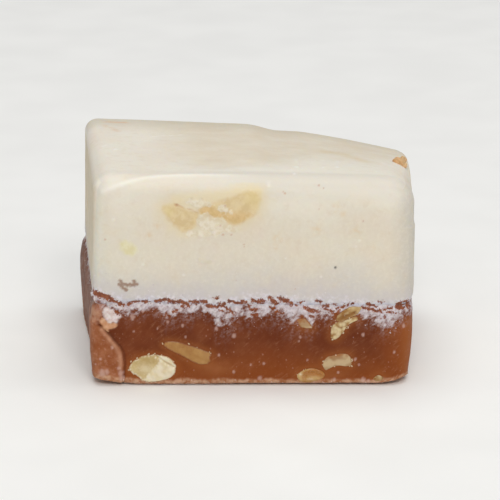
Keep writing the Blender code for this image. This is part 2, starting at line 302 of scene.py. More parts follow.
# ================================================================ features of the cut front, in millimetres (x, z)

# height of the ragged crack between the layers along the front, and how deep the powder is under it
CRACK_X = [-18.2, -17.6, -16.7, -15.7, -14.9, -13.9, -13.1, -12.3, -11.3, -9.6, -8.0, -7.2, -6.4, -5.2, -4.0, -2.9,
           -1.6, -0.4, 1.1, 2.6, 4.0, 5.2, 6.0, 6.9, 7.9, 8.6, 9.6, 11.5, 12.8, 13.6, 14.8, 16.0, 17.3, 18.4]
CRACK_Z = [11.35, 11.15, 10.85, 10.35, 10.0, 9.65, 10.0, 10.1, 10.0, 10.25, 10.05, 9.9, 10.0, 10.0, 9.75, 9.75,
           10.05, 10.1, 10.1, 10.2, 10.25, 9.9, 9.9, 9.6, 10.0, 9.7, 9.75, 9.7, 9.5, 9.5, 9.1, 9.25, 9.7, 9.4]
POWDER_X = [-18, -14.0, -13.3, -12.3, -11.3, -10.2, -9.4, -8.6, -8.0, -7.2, -6.4, -5.4, -4.5, -3.6, -2.5, -1.5, -0.5, 0.5,
            1.5, 2.5, 3.6, 4.8, 5.8, 6.8, 8.0, 9.0, 11.5, 12.6, 13.6, 14.6, 15.5, 16.5, 17.5, 18.5]
POWDER_DEEP = [0.9, 1.0, 1.0, 0.85, 0.75, 0.9, 1.55, 1.5, 1.0, 1.3, 1.1, 0.75, 1.0, 1.9, 1.7, 1.5, 1.3, 1.35,
               1.2, 1.4, 1.6, 1.7, 1.4, 1.6, 1.5, 1.1, 0.8, 0.95, 1.15, 1.35, 1.45, 1.4, 1.15, 0.9]

# the chocolate laid bare along the crack: half thickness and line
BARE = [
    (0.26, [(-17.65, 11.12), (-17.11, 10.95), (-16.64, 10.85), (-15.7, 10.35)]), (0.12, [(-15.7, 10.29), (-14.89, 9.97), (-13.94, 9.61)]),
    (0.10, [(-13.8, 9.76), (-13.12, 10.04), (-12.3, 10.12), (-11.35, 10.0)]), (0.17, [(-10.53, 10.12), (-9.58, 10.33), (-9.03, 10.19)]),
    (0.18, [(-9.03, 10.12), (-7.95, 10.04), (-7.2, 9.9), (-7.0, 9.57)]), (0.14, [(-6.86, 10.04), (-5.77, 10.04), (-6.11, 9.8)]),
    (0.20, [(-5.39, 10.04), (-5.02, 10.04)]), (0.14, [(-4.89, 9.66), (-4.0, 9.47), (-2.91, 9.69)]), (0.13, [(-3.97, 10.55), (-3.7, 10.52)]),
    (0.09, [(-2.91, 9.54), (-2.37, 9.18), (-1.93, 8.79)]), (0.12, [(-2.43, 10.14), (-1.55, 10.0), (-0.43, 10.12)]),
    (0.11, [(-0.32, 9.76), (0.02, 9.51)]), (0.07, [(0.22, 9.08), (0.66, 9.17)]), (0.07, [(0.36, 8.54), (0.79, 8.54)]),
    (0.14, [(-8.64, 8.9), (-8.36, 9.04)]), (0.10, [(-9.46, 8.54), (-9.05, 8.39)]), (0.14, [(-15.24, 8.97), (-14.91, 8.75)]),
    (0.10, [(-15.03, 9.69), (-14.21, 9.69)]), (0.10, [(-7.68, 9.54), (-7.34, 9.37)]), (0.14, [(-3.39, 9.76), (-2.98, 9.83)]),
    (0.08, [(-3.39, 9.04), (-3.05, 8.97)]), (0.16, [(0.3, 10.18), (0.89, 10.09), (1.63, 10.17)]), (0.19, [(1.14, 10.1), (1.48, 10.2)]),
    (0.22, [(2.19, 10.58), (2.58, 10.2), (2.95, 9.86)]), (0.23, [(3.39, 10.5), (4.06, 10.17), (4.53, 9.86)]), (0.09, [(4.8, 9.73), (5.24, 9.65)]),
    (0.11, [(5.54, 9.93), (5.98, 10.07)]), (0.15, [(6.13, 9.34), (6.87, 9.03), (7.2, 8.92)]), (0.11, [(7.52, 10.17), (8.07, 10.04)]),
    (0.16, [(8.27, 9.54), (8.81, 9.58)]), (0.13, [(9.08, 9.03), (9.6, 8.67)]), (0.14, [(9.49, 9.76), (9.61, 9.67)]),
    (0.10, [(6.73, 8.44), (7.2, 8.3)]), (0.11, [(7.46, 9.02), (7.61, 8.95)]), (0.12, [(12.77, 9.39), (13.51, 9.26), (14.18, 9.02), (14.84, 8.98)]),
    (0.14, [(13.38, 9.76), (13.59, 9.67)]), (0.09, [(14.84, 8.92), (15.28, 9.23), (16.05, 9.26)]), (0.06, [(15.58, 8.92), (16.5, 8.7)]),
    (0.46, [(16.95, 9.50), (17.55, 9.58)]), (0.08, [(18.0, 9.3), (18.12, 8.8)]), (0.07, [(14.53, 10.04), (14.97, 10.01)]),
    (0.09, [(13.95, 9.58), (14.25, 9.42)]), (0.09, [(0.08, 9.19), (0.59, 9.14)]), (0.08, [(0.08, 8.52), (0.67, 8.49)]),
    (0.11, [(-2.14, 8.8), (-1.77, 8.64)]), (0.08, [(3.4, 8.61), (3.77, 8.72)]), (0.07, [(2.74, 8.95), (3.33, 8.86)]),
    (0.10, [(9.75, 8.75), (10.25, 9.35), (10.95, 9.72), (11.75, 9.85)]), (0.11, [(8.49, 9.23), (8.79, 9.08)]), (0.08, [(9.82, 9.23), (10.11, 9.42)]), (0.07, [(15.01, 8.1), (15.3, 8.33)]), (0.07, [(2.29, 9.34), (2.73, 9.26)]),
]



def bare_on_front(x, z):
    """Signed distance to the chocolate laid bare on the front, in millimetres: positive on it."""
    best = np.full(np.shape(x), -1.0)
    for half, points in BARE:
        best = np.maximum(best, half - to_line(x, z, points))
    return best


FLAP_Z = [0.0, 0.85, 1.3, 2.3, 3.2, 4.06, 4.64, 5.36, 6.08, 6.49, 6.95, 7.5, 8.4, 9.4, 10.6]
FLAP_X = [-14.5, -14.49, -14.45, -14.37, -14.38, -14.5, -14.77, -15.37, -15.91, -16.31, -16.78, -17.3, -17.6, -17.9, -18.1]
FLAP_RIDGE = [(-16.78, 6.8), (-16.25, 6.05), (-15.6, 5.2), (-14.95, 4.2), (-14.72, 3.2), (-14.7, 2.3)]
SHAPES = {
    "white_patch": [(-16.6, 9.25), (-16.25, 9.57), (-15.85, 9.33), (-15.45, 9.14), (-14.57, 8.39), (-14.89, 7.99), (-15.04, 7.53), (-15.47, 7.67), (-15.88, 7.53), (-16.39, 7.96), (-16.68, 8.54)],
    "peach_patch": [(-17.03, 7.96), (-16.62, 8.25), (-15.88, 7.67), (-15.27, 7.67), (-15.01, 7.31), (-15.28, 6.88), (-15.89, 6.81), (-16.1, 6.49), (-16.42, 6.66), (-16.78, 7.1)],
    "rosy_zone": [(-18.2, 10.4), (-17.73, 10.83), (-17.19, 10.4), (-16.52, 9.97), (-16.25, 9.57), (-16.61, 8.97), (-16.69, 8.25), (-17.04, 7.82), (-17.38, 7.53), (-18.1, 7.7), (-18.3, 8.68)],
    "corner_white": [(-17.87, 10.55), (-17.66, 10.76), (-17.39, 10.47), (-17.2, 10.04), (-17.47, 9.97), (-17.74, 10.19)],
    "nut_pale_half": [(-13.92, 2.02), (-13.63, 2.67), (-12.94, 3.33), (-12.11, 3.69), (-11.15, 3.81), (-10.19, 3.77), (-9.37, 3.55), (-8.69, 3.04), (-8.31, 2.31), (-8.43, 1.65), (-8.71, 1.14), (-9.4, 0.7), (-10.5, 0.41), (-11.6, 0.38), (-12.43, 0.6), (-12.97, 1.14), (-13.51, 1.43)],
    "nut_tan_sliver": [(-9.93, 4.85), (-9.63, 5.36), (-8.67, 5.43), (-7.71, 5.22), (-6.35, 4.78), (-4.98, 4.27), (-4.3, 3.91), (-4.44, 3.33), (-4.51, 2.67), (-5.54, 2.46), (-6.36, 2.67), (-7.46, 3.33), (-8.55, 3.91), (-9.36, 4.35)],
    "nut_pale_chip": [(5.25, 8.02), (6.14, 8.17), (6.58, 7.86), (6.91, 7.47), (7.21, 6.92), (6.74, 6.77), (6.15, 6.81), (5.63, 7.0), (5.43, 7.47)],
    "nut_golden_skin": [(9.69, 7.78), (9.8, 8.41), (10.41, 9.03), (11.15, 9.5), (11.88, 9.61), (12.67, 9.45), (12.51, 8.9), (12.04, 8.42), (11.45, 8.14), (10.87, 7.84), (10.28, 7.62)],
    "nut_golden_crumb": [(9.07, 5.83), (9.13, 6.92), (9.54, 7.55), (10.28, 7.86), (11.02, 8.02), (11.6, 8.33), (12.19, 8.36), (12.27, 7.86), (11.61, 7.52), (11.06, 7.08), (10.66, 6.45), (10.01, 5.64), (9.49, 5.51)],
    "nut_tan_block": [(8.18, 2.44), (8.33, 3.08), (8.84, 3.55), (9.43, 3.71), (10.32, 3.94), (11.22, 3.79), (11.59, 3.23), (11.63, 2.37), (10.94, 2.21), (9.9, 2.29), (9.15, 1.97), (8.56, 1.76)],
    "nut_amber_piece": [(5.29, 1.23), (5.59, 1.61), (6.18, 1.97), (7.07, 2.16), (8.11, 1.89), (8.6, 1.34), (8.27, 0.78), (7.53, 0.47), (6.79, 0.35), (5.89, 0.37), (5.41, 0.75)],
    "nut_low_chip": [(13.95, 0.8), (14.3, 1.2), (14.75, 1.32), (15.15, 1.1), (15.28, 0.8), (15.0, 0.5), (14.4, 0.44)],
    "peanut_left": [(-9.8, 21.12), (-9.32, 21.51), (-8.25, 21.54), (-7.58, 21.19), (-6.77, 20.91), (-5.77, 20.42), (-5.82, 19.58), (-6.12, 18.87), (-6.79, 18.45), (-7.6, 18.28), (-8.27, 18.8), (-8.94, 19.51), (-9.54, 20.35)],
    "peanut_right": [(-5.7, 20.63), (-5.5, 21.19), (-4.75, 21.61), (-3.54, 22.03), (-2.2, 22.38), (-0.86, 22.95), (-0.05, 23.15), (0.89, 23.05), (1.32, 22.38), (1.13, 21.4), (0.78, 20.42), (-0.12, 19.74), (-1.06, 19.27), (-1.91, 19.1), (-2.88, 19.51), (-3.82, 19.83), (-4.76, 20.07), (-5.5, 20.25)],
    "peanut_skin": [(-5.56, 21.05), (-4.76, 21.29), (-3.82, 20.95), (-3.15, 20.53), (-2.1, 20.5), (-0.9, 20.55), (0.0, 20.45), (-0.35, 19.83), (-1.67, 19.13), (-2.74, 19.62), (-4.22, 20.04), (-5.43, 20.32)],
    "peanut_veil": [(-8.78, 22.5), (-7.56, 22.8), (-6.22, 23.0), (-4.21, 23.2), (-2.2, 23.4), (-0.19, 23.6), (1.02, 23.4), (1.29, 22.93), (-0.86, 22.3), (-3.54, 21.7), (-4.89, 21.3), (-6.24, 21.0), (-7.58, 21.3), (-8.51, 21.6)],
    "smear_a": [(-5.7, 20.35), (-5.16, 20.63), (-4.63, 20.35), (-4.22, 19.93), (-3.28, 19.86), (-2.95, 19.58), (-3.82, 19.16), (-4.5, 18.52), (-5.31, 18.45), (-5.78, 18.94), (-5.98, 19.65)],
    "smear_b": [(-7.27, 17.96), (-6.52, 18.59), (-5.71, 18.94), (-4.64, 18.45), (-3.56, 18.94), (-2.74, 19.65), (-1.8, 19.04), (-1.0, 18.73), (-1.8, 18.24), (-2.88, 18.1), (-3.83, 17.54), (-4.91, 17.4), (-5.99, 17.68), (-6.8, 17.54)],
    "smear_c": [(-7.57, 21.82), (-6.77, 22.1), (-5.42, 22.1), (-4.48, 21.82), (-4.22, 21.33), (-4.89, 21.26), (-5.7, 21.12), (-6.77, 21.26)],
    "smear_d": [(-3.41, 21.26), (-2.74, 21.33), (-2.07, 20.84), (-2.34, 20.42), (-3.01, 20.56), (-3.55, 20.84)],
    "lemon_chip": [(-14.64, 16.9), (-14.09, 17.32), (-13.42, 17.04), (-12.62, 16.34), (-12.76, 15.77), (-13.31, 15.5), (-14.3, 15.9)],
}
SHAPES = {name: round_outline(points, 66) for name, points in SHAPES.items()}
PEANUT_CRACK = [(-8.41, 21.51), (-8.01, 21.37), (-7.31, 21.12), (-6.51, 20.87), (-5.64, 20.38)]
SMUDGE = [[(-14.64, 12.52), (-14.38, 12.19), (-13.77, 12.05), (-13.22, 12.12), (-12.75, 12.15)], [(-13.08, 12.5), (-13.02, 12.05)], [(-14.72, 12.1), (-14.3, 11.75), (-13.95, 11.45)]]
DENT = [(-5.9, 14.95), (-5.5, 14.62), (-5.06, 14.51), (-4.5, 14.7)]
RED_DOTS = [(-8.18, 21.43, 0.2), (-3.02, 17.96, 0.15), (-2.08, 17.96, 0.12), (-2.77, 21.37, 0.13), (-0.66, 16.83, 0.12),
            (-3.29, 19.01, 0.1), (7.69, 23.51, 0.12), (8.22, 23.25, 0.1), (3.9, 22.75, 0.13), (3.7, 22.9, 0.1), (12.64, 19.55, 0.11),
            (-16.25, 17.4, 0.13), (7.68, 20.93, 0.09), (-0.66, 16.54, 0.08), (-1.5, 12.6, 0.06), (5.1, 11.6, 0.07)]
DARK_SPECK = (9.6, 14.1, 0.15)
ORANGE_SPOTS = [(-8.18, 21.43, 0.42), (-8.1, 21.4, 0.3), (11.84, 18.37, 0.55), (9.55, 21.03, 0.45), (10.43, 20.35, 0.35), (3.08, 17.61, 0.5), (2.86, 16.54, 0.35),
                (7.5, 18.6, 0.55), (13.99, 16.46, 0.4), (-4.78, 17.47, 0.22), (-5.72, 17.89, 0.2), (-11.3, 17.9, 0.4), (-10.4, 19.0, 0.35), (7.37, 23.9, 0.3)]
WHITE_DOTS = [(-17.45, 21.82, 0.16), (-15.27, 19.72, 0.25), (-12.0, 14.5, 0.2), (4.0, 15.2, 0.15), (8.0, 13.0, 0.18), (-7.5, 13.2, 0.2), (12.3, 17.3, 0.2), (11.9, 16.6, 0.15)]
TOP_WHITE_DOTS = [(5.3, -8.8, 0.22), (5.0, -12.0, 0.17), (9.9, -8.2, 0.20), (8.2, -8.6, 0.14), (14.4, -9.6, 0.14), (-15.6, -2.0, 0.2)]
CHOCOLATE_DOTS = [(12.9, 0.62, 0.34), (13.5, 0.5, 0.24), (9.6, 0.75, 0.2), (1.1, 0.9, 0.26), (-16.85, 1.6, 0.42), (-16.3, 1.75, 0.30), (-14.7, 1.55, 0.36), (-14.9, 2.2, 0.24), (-14.6, 0.95, 0.34), (-1.83, 6.01, 0.26), (-3.81, 6.88, 0.22), (-10.5, 6.88, 0.13), (-13.28, 8.25, 0.32), (-9.33, 7.67, 0.2), (-7.63, 7.24, 0.18), (-3.55, 3.69, 0.16),
                  (-1.84, 1.65, 0.16), (-16.98, 3.26, 0.15), (-12.11, 9.0, 0.2), (-3.6, 7.6, 0.22), (-13.17, 6.52, 0.13), (-7.3, 5.87, 0.14), (-15.66, 4.64, 0.18),
                  (-17.48, 2.6, 0.1), (12.82, 6.14, 0.22), (16.41, 4.02, 0.16), (11.97, 3.15, 0.18), (5.71, 5.83, 0.16), (6.54, 3.08, 0.14), (4.59, 7.55, 0.16),
                  (14.58, 7.24, 0.14), (17.46, 7.08, 0.2), (12.42, 2.52, 0.14), (1.57, 2.68, 0.16), (0.08, 2.52, 0.12), (5.56, 5.36, 0.13), (-1.86, 1.73, 0.15), (10.05, 1.57, 0.16)]
# the crest over the front of the top, left of the middle, where the knife left a lip
CREST = [(-16.3, -14.3, 22.9), (-15.1, -14.2, 23.35), (-14.0, -14.05, 23.8), (-12.9, -13.8, 24.1), (-11.6, -13.5, 24.3), (-10.2, -13.25, 24.4),
         (-8.2, -13.05, 24.45), (-5.0, -12.9, 24.45), (-1.5, -12.8, 24.45), (1.0, -12.8, 24.4)]
CREASE_X = [-20, -14, -11.5, -10.0, -8.4, -6.3, -3.6, 0.5, 4.5, 7.5, 13, 20]
CREASE_Y = [7.0, 1.5, -2.5, -5.8, -8.8, -9.9, -10.3, -9.6, -8.0, -4.6, -2.6, 2.0]

CHOCOLATE_NUTS = ("nut_pale_half", "nut_tan_sliver", "nut_pale_chip", "nut_golden_skin", "nut_golden_crumb", "nut_tan_block", "nut_amber_piece", "nut_low_chip")

# nuts on the sides that the front view hides: side, place along the side and height, half length, half height, tilt, kind
OTHER_NUTS = [
    ("right", -9.3, 3.2, 2.1, 1.3, 12, "pale"), ("right", -3.0, 6.5, 1.7, 0.8, -30, "tan"), ("right", 4.4, 2.8, 2.6, 1.2, 20, "tan"),
    ("right", 9.2, 6.0, 1.2, 0.9, 5, "pale"), ("right", -5.4, 17.4, 2.5, 1.2, -15, "veiled"), ("right", 6.4, 14.1, 1.5, 0.9, 25, "veiled"),
    ("back", -11.2, 4.3, 2.4, 1.5, -18, "pale"), ("back", -4.0, 2.4, 1.8, 0.9, 10, "amber"), ("back", 2.6, 6.0, 2.3, 0.8, 24, "tan"),
    ("back", 8.9, 3.4, 1.7, 1.2, -8, "pale"), ("back", 13.6, 6.4, 1.1, 0.7, 30, "tan"), ("back", -7.4, 18.2, 2.9, 1.4, 14, "veiled"),
    ("back", 7.2, 15.0, 1.7, 1.0, -22, "veiled"),
    ("left", 8.6, 2.3, 1.0, 0.7, -10, "tan"), ("left", 4.6, 16.2, 1.6, 0.9, -20, "veiled"),
]


def nut_outline(half_length, half_height, tilt, seed):
    """An uneven chopped outline about (0, 0)."""
    a = np.linspace(0, 2 * math.pi, 11, endpoint=False)
    r = 1 + 0.16 * noise(np.cos(a) * 1.3 + seed * 3.7, np.sin(a) * 1.3, seed * 0.77, 11)
    x = half_length * r * np.sign(np.cos(a)) * np.abs(np.cos(a)) ** 0.8
    z = half_height * r * np.sign(np.sin(a)) * np.abs(np.sin(a)) ** 0.8
    t = math.radians(tilt)
    return np.stack([x * math.cos(t) - z * math.sin(t), x * math.sin(t) + z * math.cos(t)], axis=1)


OTHER_OUTLINES = [
    round_outline(nut_outline(n[3], n[4], n[5], i + 1.0) + np.array([n[1], n[2]]), 50) for i, n in enumerate(OTHER_NUTS)
]


# ================================================================ what each point of the surface is like


def signed(where, a, z, outline, margin=2.0):
    """Signed distance to an outline for the points near it that where picks out; -9 elsewhere."""
    low, high = outline.min(axis=0) - margin, outline.max(axis=0) + margin
    rows = where & (a > low[0]) & (a < high[0]) & (z > low[1]) & (z < high[1])
    d = np.full(np.shape(a), -9.0)
    if rows.any():
        d[rows] = in_outline(a[rows], z[rows], outline)
    return d


def broad_relief(x, y, z):
    """The slow unevenness that the layers and the nuts in them share, in millimetres."""
    return 0.07 * fbm(x * 0.13, y * 0.13, z * 0.15, 90, 3) + 0.016 * fbm(x * 0.9, y * 0.9, z * 0.9, 91, 2)


def crack_height(form, plain):
    x, y = form[:, 0], form[:, 1]
    around = SEAM + seam_lift(plain[:, 0], plain[:, 1]) + 0.2 + 0.3 * noise(x * 0.3, y * 0.3, 2.5, 40) + 0.12 * noise(x * 1.1, y * 1.1, 4.5, 41)
    front = np.interp(x, CRACK_X, CRACK_Z)
    share = smooth(-DEPTH / 2 + 1.3, -DEPTH / 2 + 0.2, y)
    at_corner = np.exp(-((x + 18) ** 2 + (y + DEPTH / 2) ** 2) / 2.2) * 0.9
    return (around + at_corner) * (1 - share) + front * share


def fields(form, plain, side):
    """Masks (0 to 1), lengths (millimetres) and the relief (millimetres outwards) at points of the surface."""
    x, y, z = form[:, 0], form[:, 1], form[:, 2]
    is_front = side == "front"
    upright = (side != "top") & (side != "base")
    n = len(x)
    f = {}
    line = crack_height(form, plain)
    h = z - line
    f["height_over_crack"] = h

    # bare chocolate along the crack, as a signed distance: positive on it
    ragged = 0.055 * noise(x * 4.2, y * 4.2, z * 4.6, 47) + 0.03 * noise(x * 9, y * 9, z * 9, 48)
    bare = np.full(n, -1.0)
    round_corner = (side == "right") & (y < -12.6)
    rows = (is_front | round_corner) & (z > 7.6) & (z < 11.9)
    bare[rows] = bare_on_front(x[rows], z[rows])
    rows = upright & ~is_front & (np.abs(h) < 2.5)
    xs, ys, hs = x[rows], y[rows], h[rows]
    wander = 0.12 * noise(xs * 0.9, ys * 0.9, 8.1, 43) + 0.08 * noise(xs * 2.6, ys * 2.6, 1.7, 44)
    thick = 0.02 + 0.30 * noise(xs * 0.75, ys * 0.75, 3.3, 45) + 0.30 * noise(xs * 1.9, ys * 1.9, 6.3, 46)
    flake = fbm(xs * 1.3, ys * 1.3, hs * 2.6, 49, 2) - 0.34 - 0.25 * np.abs(hs + 0.4)
    bare[rows] = np.maximum(bare[rows], np.maximum(np.minimum(thick, 0.22) - np.abs(hs - wander), flake) - 1.2 * round_corner[rows])
    f["bare"] = np.clip(bare + ragged, -1, 1)

    # powder: how far under the crack, as a share of the local depth of the band
    deep = 1.15 + 0.75 * fbm(x * 0.45, y * 0.45, 9.0, 53, 3)
    deep = np.where(is_front | round_corner, np.interp(x, POWDER_X, POWDER_DEEP), np.clip(deep, 0.5, 2.2) * np.where(side == "left", 0.5, 1.0))
    deep = deep * (1 + 0.25 * noise(x * 2.3, y * 2.3, 4.0, 54))
    f["under"] = np.clip(-h / deep, 0, 6)
    powder = smooth(0.3, 0.75, 1.05 - 0.62 * f["under"] + 0.8 * fbm(x * 1.9, y * 1.9, z * 1.5, 55, 3)) * (h < 0.1) * upright

    # the smeared chocolate round the front left corner
    along = np.where(side == "left", -18.05 - np.clip(y + DEPTH / 2, 0, 99), x)
    rim_edge = np.interp(z, FLAP_Z, FLAP_X) + 0.06 * noise(z * 1.7, 3.0, 0.2, 61) + 0.04 * noise(z * 5.0, 1.0, 0.7, 62)
    inward = rim_edge - along
    reach = 4.2 + 1.2 * noise(z * 0.35, 0.3, 0.1, 63)
    on_flap = ((side == "left") | is_front | (side == "base")) & (h < 0.2)
    flap = np.where(on_flap, smooth(-0.02, 0.16, inward) * (1 - smooth(reach, reach + 4.0, inward)), 0)
    flap = flap * smooth(8.3, 7.4, z)
    f["flap"] = flap
    ridge = np.full(n, 9.0)
    ridge[is_front] = to_line(x[is_front], z[is_front], FLAP_RIDGE)
    # the flap's lip: relief, and a painted highlight along it
    f["flap_lip_and_highlight"] = np.exp(-((ridge / 0.26) ** 2)) * (0.7 + 0.5 * noise(x * 1.5, 0, z * 1.5, 64))
    shadow = np.where(is_front & (z < 7.3), np.exp(-(((inward + 0.13) / 0.13) ** 2)), 0)
    f["flap_shadow"] = shadow * smooth(-0.3, 0.1, 0.5 + noise(z * 1.2, 0.2, 0.9, 65))
    edge_noise = 0.14 * noise(x * 3.1, 0, z * 3.1, 66) + 0.07 * noise(x * 8, 0, z * 8, 67)
    f["white_patch"] = smooth(-0.10, 0.16, signed(is_front, x, z, SHAPES["white_patch"]) + edge_noise)
    f["white_patch"] = np.maximum(f["white_patch"], 0.9 * smooth(-0.05, 0.12, signed(is_front, x, z, SHAPES["corner_white"]) + edge_noise))
    f["peach"] = smooth(-0.10, 0.16, signed(is_front, x, z, SHAPES["peach_patch"]) + edge_noise)
    rosy = smooth(-0.3, 0.3, signed(is_front, x, z, SHAPES["rosy_zone"]) + edge_noise * 2)
    rosy = np.maximum(rosy, np.where(side == "left", smooth(3.0, 0.2, y + DEPTH / 2) * smooth(7.0, 8.0, z) * (h < 0.1), 0))
    f["rosy"] = rosy

    # the low edge is paler: crumbly, and partly painted light from below
    foot = block_form(np.stack([plain[:, 0], plain[:, 1], np.zeros(n)], axis=1))[:, 2]
    edge_height = foot + 0.58 + 0.30 * fbm(x * 0.7, y * 0.7, 0.3, 68, 3) + 0.12 * noise(x * 3, y * 3, 0, 69)
    f["rim"] = smooth(edge_height + 0.22, edge_height - 0.16, z) * (z < 2.6)

    # warmth of the chocolate: orange low down, orange at the right as painted light, dull and dark in the middle
    warm_and_right_light = smooth(5.6, 0.6, z + 0.9 * fbm(x * 0.25, y * 0.25, z * 0.25, 70, 3))
    near_front = np.where(is_front, 1.0, smooth(-8.5, -13.5, y) * (side == "right"))
    warm_and_right_light = np.maximum(warm_and_right_light * np.maximum(near_front, 0.55), near_front * smooth(13.5, 17.5, x + 0.8 * noise(x * 0.5, 0, z * 0.5, 71)) * smooth(8.6, 6.8, z))
    f["warm_and_right_light"] = np.clip(warm_and_right_light, 0, 1)
    # painted light: the sides other than the front get a less red brown against the red they take in shade
    f["shaded_sides_tint"] = np.where(is_front, 0.0, np.where(side == "right", smooth(-11.0, -6.0, y), 1.0))
    # painted light: brighter orange on the chocolate's front right rounding
    f["right_edge_painted_light"] = near_front * smooth(16.6, 18.2, x) * smooth(9.0, 7.4, z)

    # beds of the nuts, and a painted glow in the fudge beside them
    bed, painted_nut_glow = np.zeros(n), np.zeros(n)
    for name in CHOCOLATE_NUTS:
        d = signed(is_front, x, z, SHAPES[name])
        bed = np.maximum(bed, smooth(0.05, 0.3, d))
        painted_nut_glow = np.maximum(painted_nut_glow, np.exp(-((np.clip(-d, 0, 9) / 0.5) ** 2)))
    veiled = np.zeros(n)
    painted_glow = np.zeros(n)
    for nut, outline in zip(OTHER_NUTS, OTHER_OUTLINES):
        d = signed(side == nut[0], x if nut[0] == "back" else y, z, outline)
        if nut[6] == "veiled":
            veiled = np.maximum(veiled, smooth(-0.1, 0.4, d))
            painted_glow = np.maximum(painted_glow, np.exp(-((np.clip(-d, 0, 9) / 0.8) ** 2)))
        else:
            bed = np.maximum(bed, smooth(0.05, 0.3, d))
            painted_nut_glow = np.maximum(painted_nut_glow, np.exp(-((np.clip(-d, 0, 9) / 0.5) ** 2)))
    f["painted_nut_glow"] = painted_nut_glow
    # painted glow: lighter orange clouds low on the front
    clouds = np.exp(-(((x + 3.9) / 1.9) ** 2 + ((z - 2.1) / 0.9) ** 2)) + 0.6 * np.exp(-(((x - 9.8) / 1.6) ** 2 + ((z - 1.2) / 0.5) ** 2))
    f["low_painted_glow"] = np.where(is_front, np.clip(clouds * (0.8 + 0.8 * fbm(x * 0.9, 0, z * 0.9, 147, 3)), 0, 1), 0)
    dots = np.zeros(n)
    for cx, cz, r in CHOCOLATE_DOTS:
        rows = is_front & (np.abs(x - cx) < 1) & (np.abs(z - cz) < 1)
        d = np.hypot(x[rows] - cx, (z[rows] - cz) * 0.75) / r + 0.35 * noise(x[rows] * 4, 0, z[rows] * 4, 72)
        dots[rows] = np.maximum(dots[rows], 1 - smooth(0.35, 1.2, d))
    f["dots"] = dots

    # the peanut in the vanilla, smeared flush with the face
    wobble = 0.16 * noise(x * 1.8, 0, z * 1.8, 73) + 0.07 * noise(x * 4.5, 0, z * 4.5, 104)
    left_lobe = signed(is_front, x, z, SHAPES["peanut_left"]) + wobble
    right_lobe = signed(is_front, x, z, SHAPES["peanut_right"]) + wobble
    # painted glow in the vanilla round the peanut
    painted_glow = np.maximum(painted_glow, np.exp(-((np.clip(-np.maximum(left_lobe, right_lobe), 0, 9) / 0.9) ** 2)))
    f["painted_glow"] = painted_glow
    f["lobe"] = np.maximum(smooth(-0.22, 0.34, left_lobe), smooth(-0.20, 0.42, right_lobe))
    skin = signed(is_front, x, z, SHAPES["peanut_skin"]) + 0.22 * noise(x * 1.7, 0, z * 1.7, 142) + 0.10 * noise(x * 4, 0, z * 4, 105)
    f["lobe_tan"] = smooth(-0.40, 0.35, skin)
    yellow = np.exp(-(((x - 0.35) / 0.95) ** 2 + ((z - 22.1) / 0.85) ** 2)) + 0.8 * np.exp(-(((x + 9.0) / 0.6) ** 2 + ((z - 20.8) / 0.55) ** 2))
    f["lobe_yellow"] = np.where(is_front, np.clip(yellow, 0, 1), 0)
    line_rows = is_front & (x > -9.5) & (x < -4.5) & (z > 19) & (z < 22.5)
    split = np.zeros(n)
    split[line_rows] = np.exp(-((to_line(x[line_rows], z[line_rows], PEANUT_CRACK) / 0.10) ** 2)) * smooth(-0.4, 0.2, noise(x[line_rows] * 2.2, 0, z[line_rows] * 2.2, 106))
    f["lobe_line"] = split
    f["veil"] = smooth(-0.45, 0.55, signed(is_front, x, z, SHAPES["peanut_veil"]) + wobble)
    clumps = 0.40 * noise(x * 1.05, y * 1.05, z * 1.05, 74) + 0.20 * noise(x * 2.3, y * 2.3, z * 2.3, 75) + 0.06 * noise(x * 5, y * 5, z * 5, 76)
    smear = np.maximum(signed(is_front, x, z, SHAPES["smear_a"]) + 0.10, signed(is_front, x, z, SHAPES["smear_b"]) - 0.10)
    smear = np.maximum(smear, np.maximum(signed(is_front, x, z, SHAPES["smear_c"]) - 0.05, signed(is_front, x, z, SHAPES["smear_d"])))
    other = np.where(is_front, -9, (fbm(x * 0.7, y * 0.7, z * 0.7, 77, 3) - 0.02) * 1.5 - 3 * (1 - veiled))
    f["smear"] = np.clip(np.where(is_front, smear, other) + clumps, -1, 1)  # signed, positive on it
    on_smear = smooth(-0.06, 0.10, f["smear"])
    f["lemon"] = smooth(-0.22, 0.30, signed(is_front, x, z, SHAPES["lemon_chip"]) + 0.20 * noise(x * 2.0, 0, z * 2.0, 78))
    f["beige"] = np.where(is_front, np.exp(-(((x + 3.0) / 5.2) ** 2 + ((z - 17.0) / 3.4) ** 2)), 0) * (0.8 + 0.4 * fbm(x * 0.4, 0, z * 0.4, 79, 2))
    # painted shade: the front greyer and cooler towards its left edge
    f["left_edge_shade"] = np.where(is_front, smooth(-14.8, -18.0, x) * 0.9, 0)
    # painted shade: darker towards the front right edge where the face turns away from the light
    f["right_edge_shade"] = np.where(is_front | (side == "right"), smooth(15.2, 18.2, x) * smooth(-8.0, -13.0, y), 0)
    # the left side and back-left corner: their own tan, darkened further with painted shade
    round_left = np.where(side == "back", smooth(-7.0, -20.0, x), smooth(-16.9, -17.7, x)) * smooth(-14.2, -13.2, y)
    f["left_side_tan_and_shade"] = np.where(upright, np.clip(np.maximum(round_left, 0.30 * smooth(-14.0, -12.0, y)), 0, 1) * smooth(HEIGHT - 0.6, HEIGHT - 2.2, z), 0)

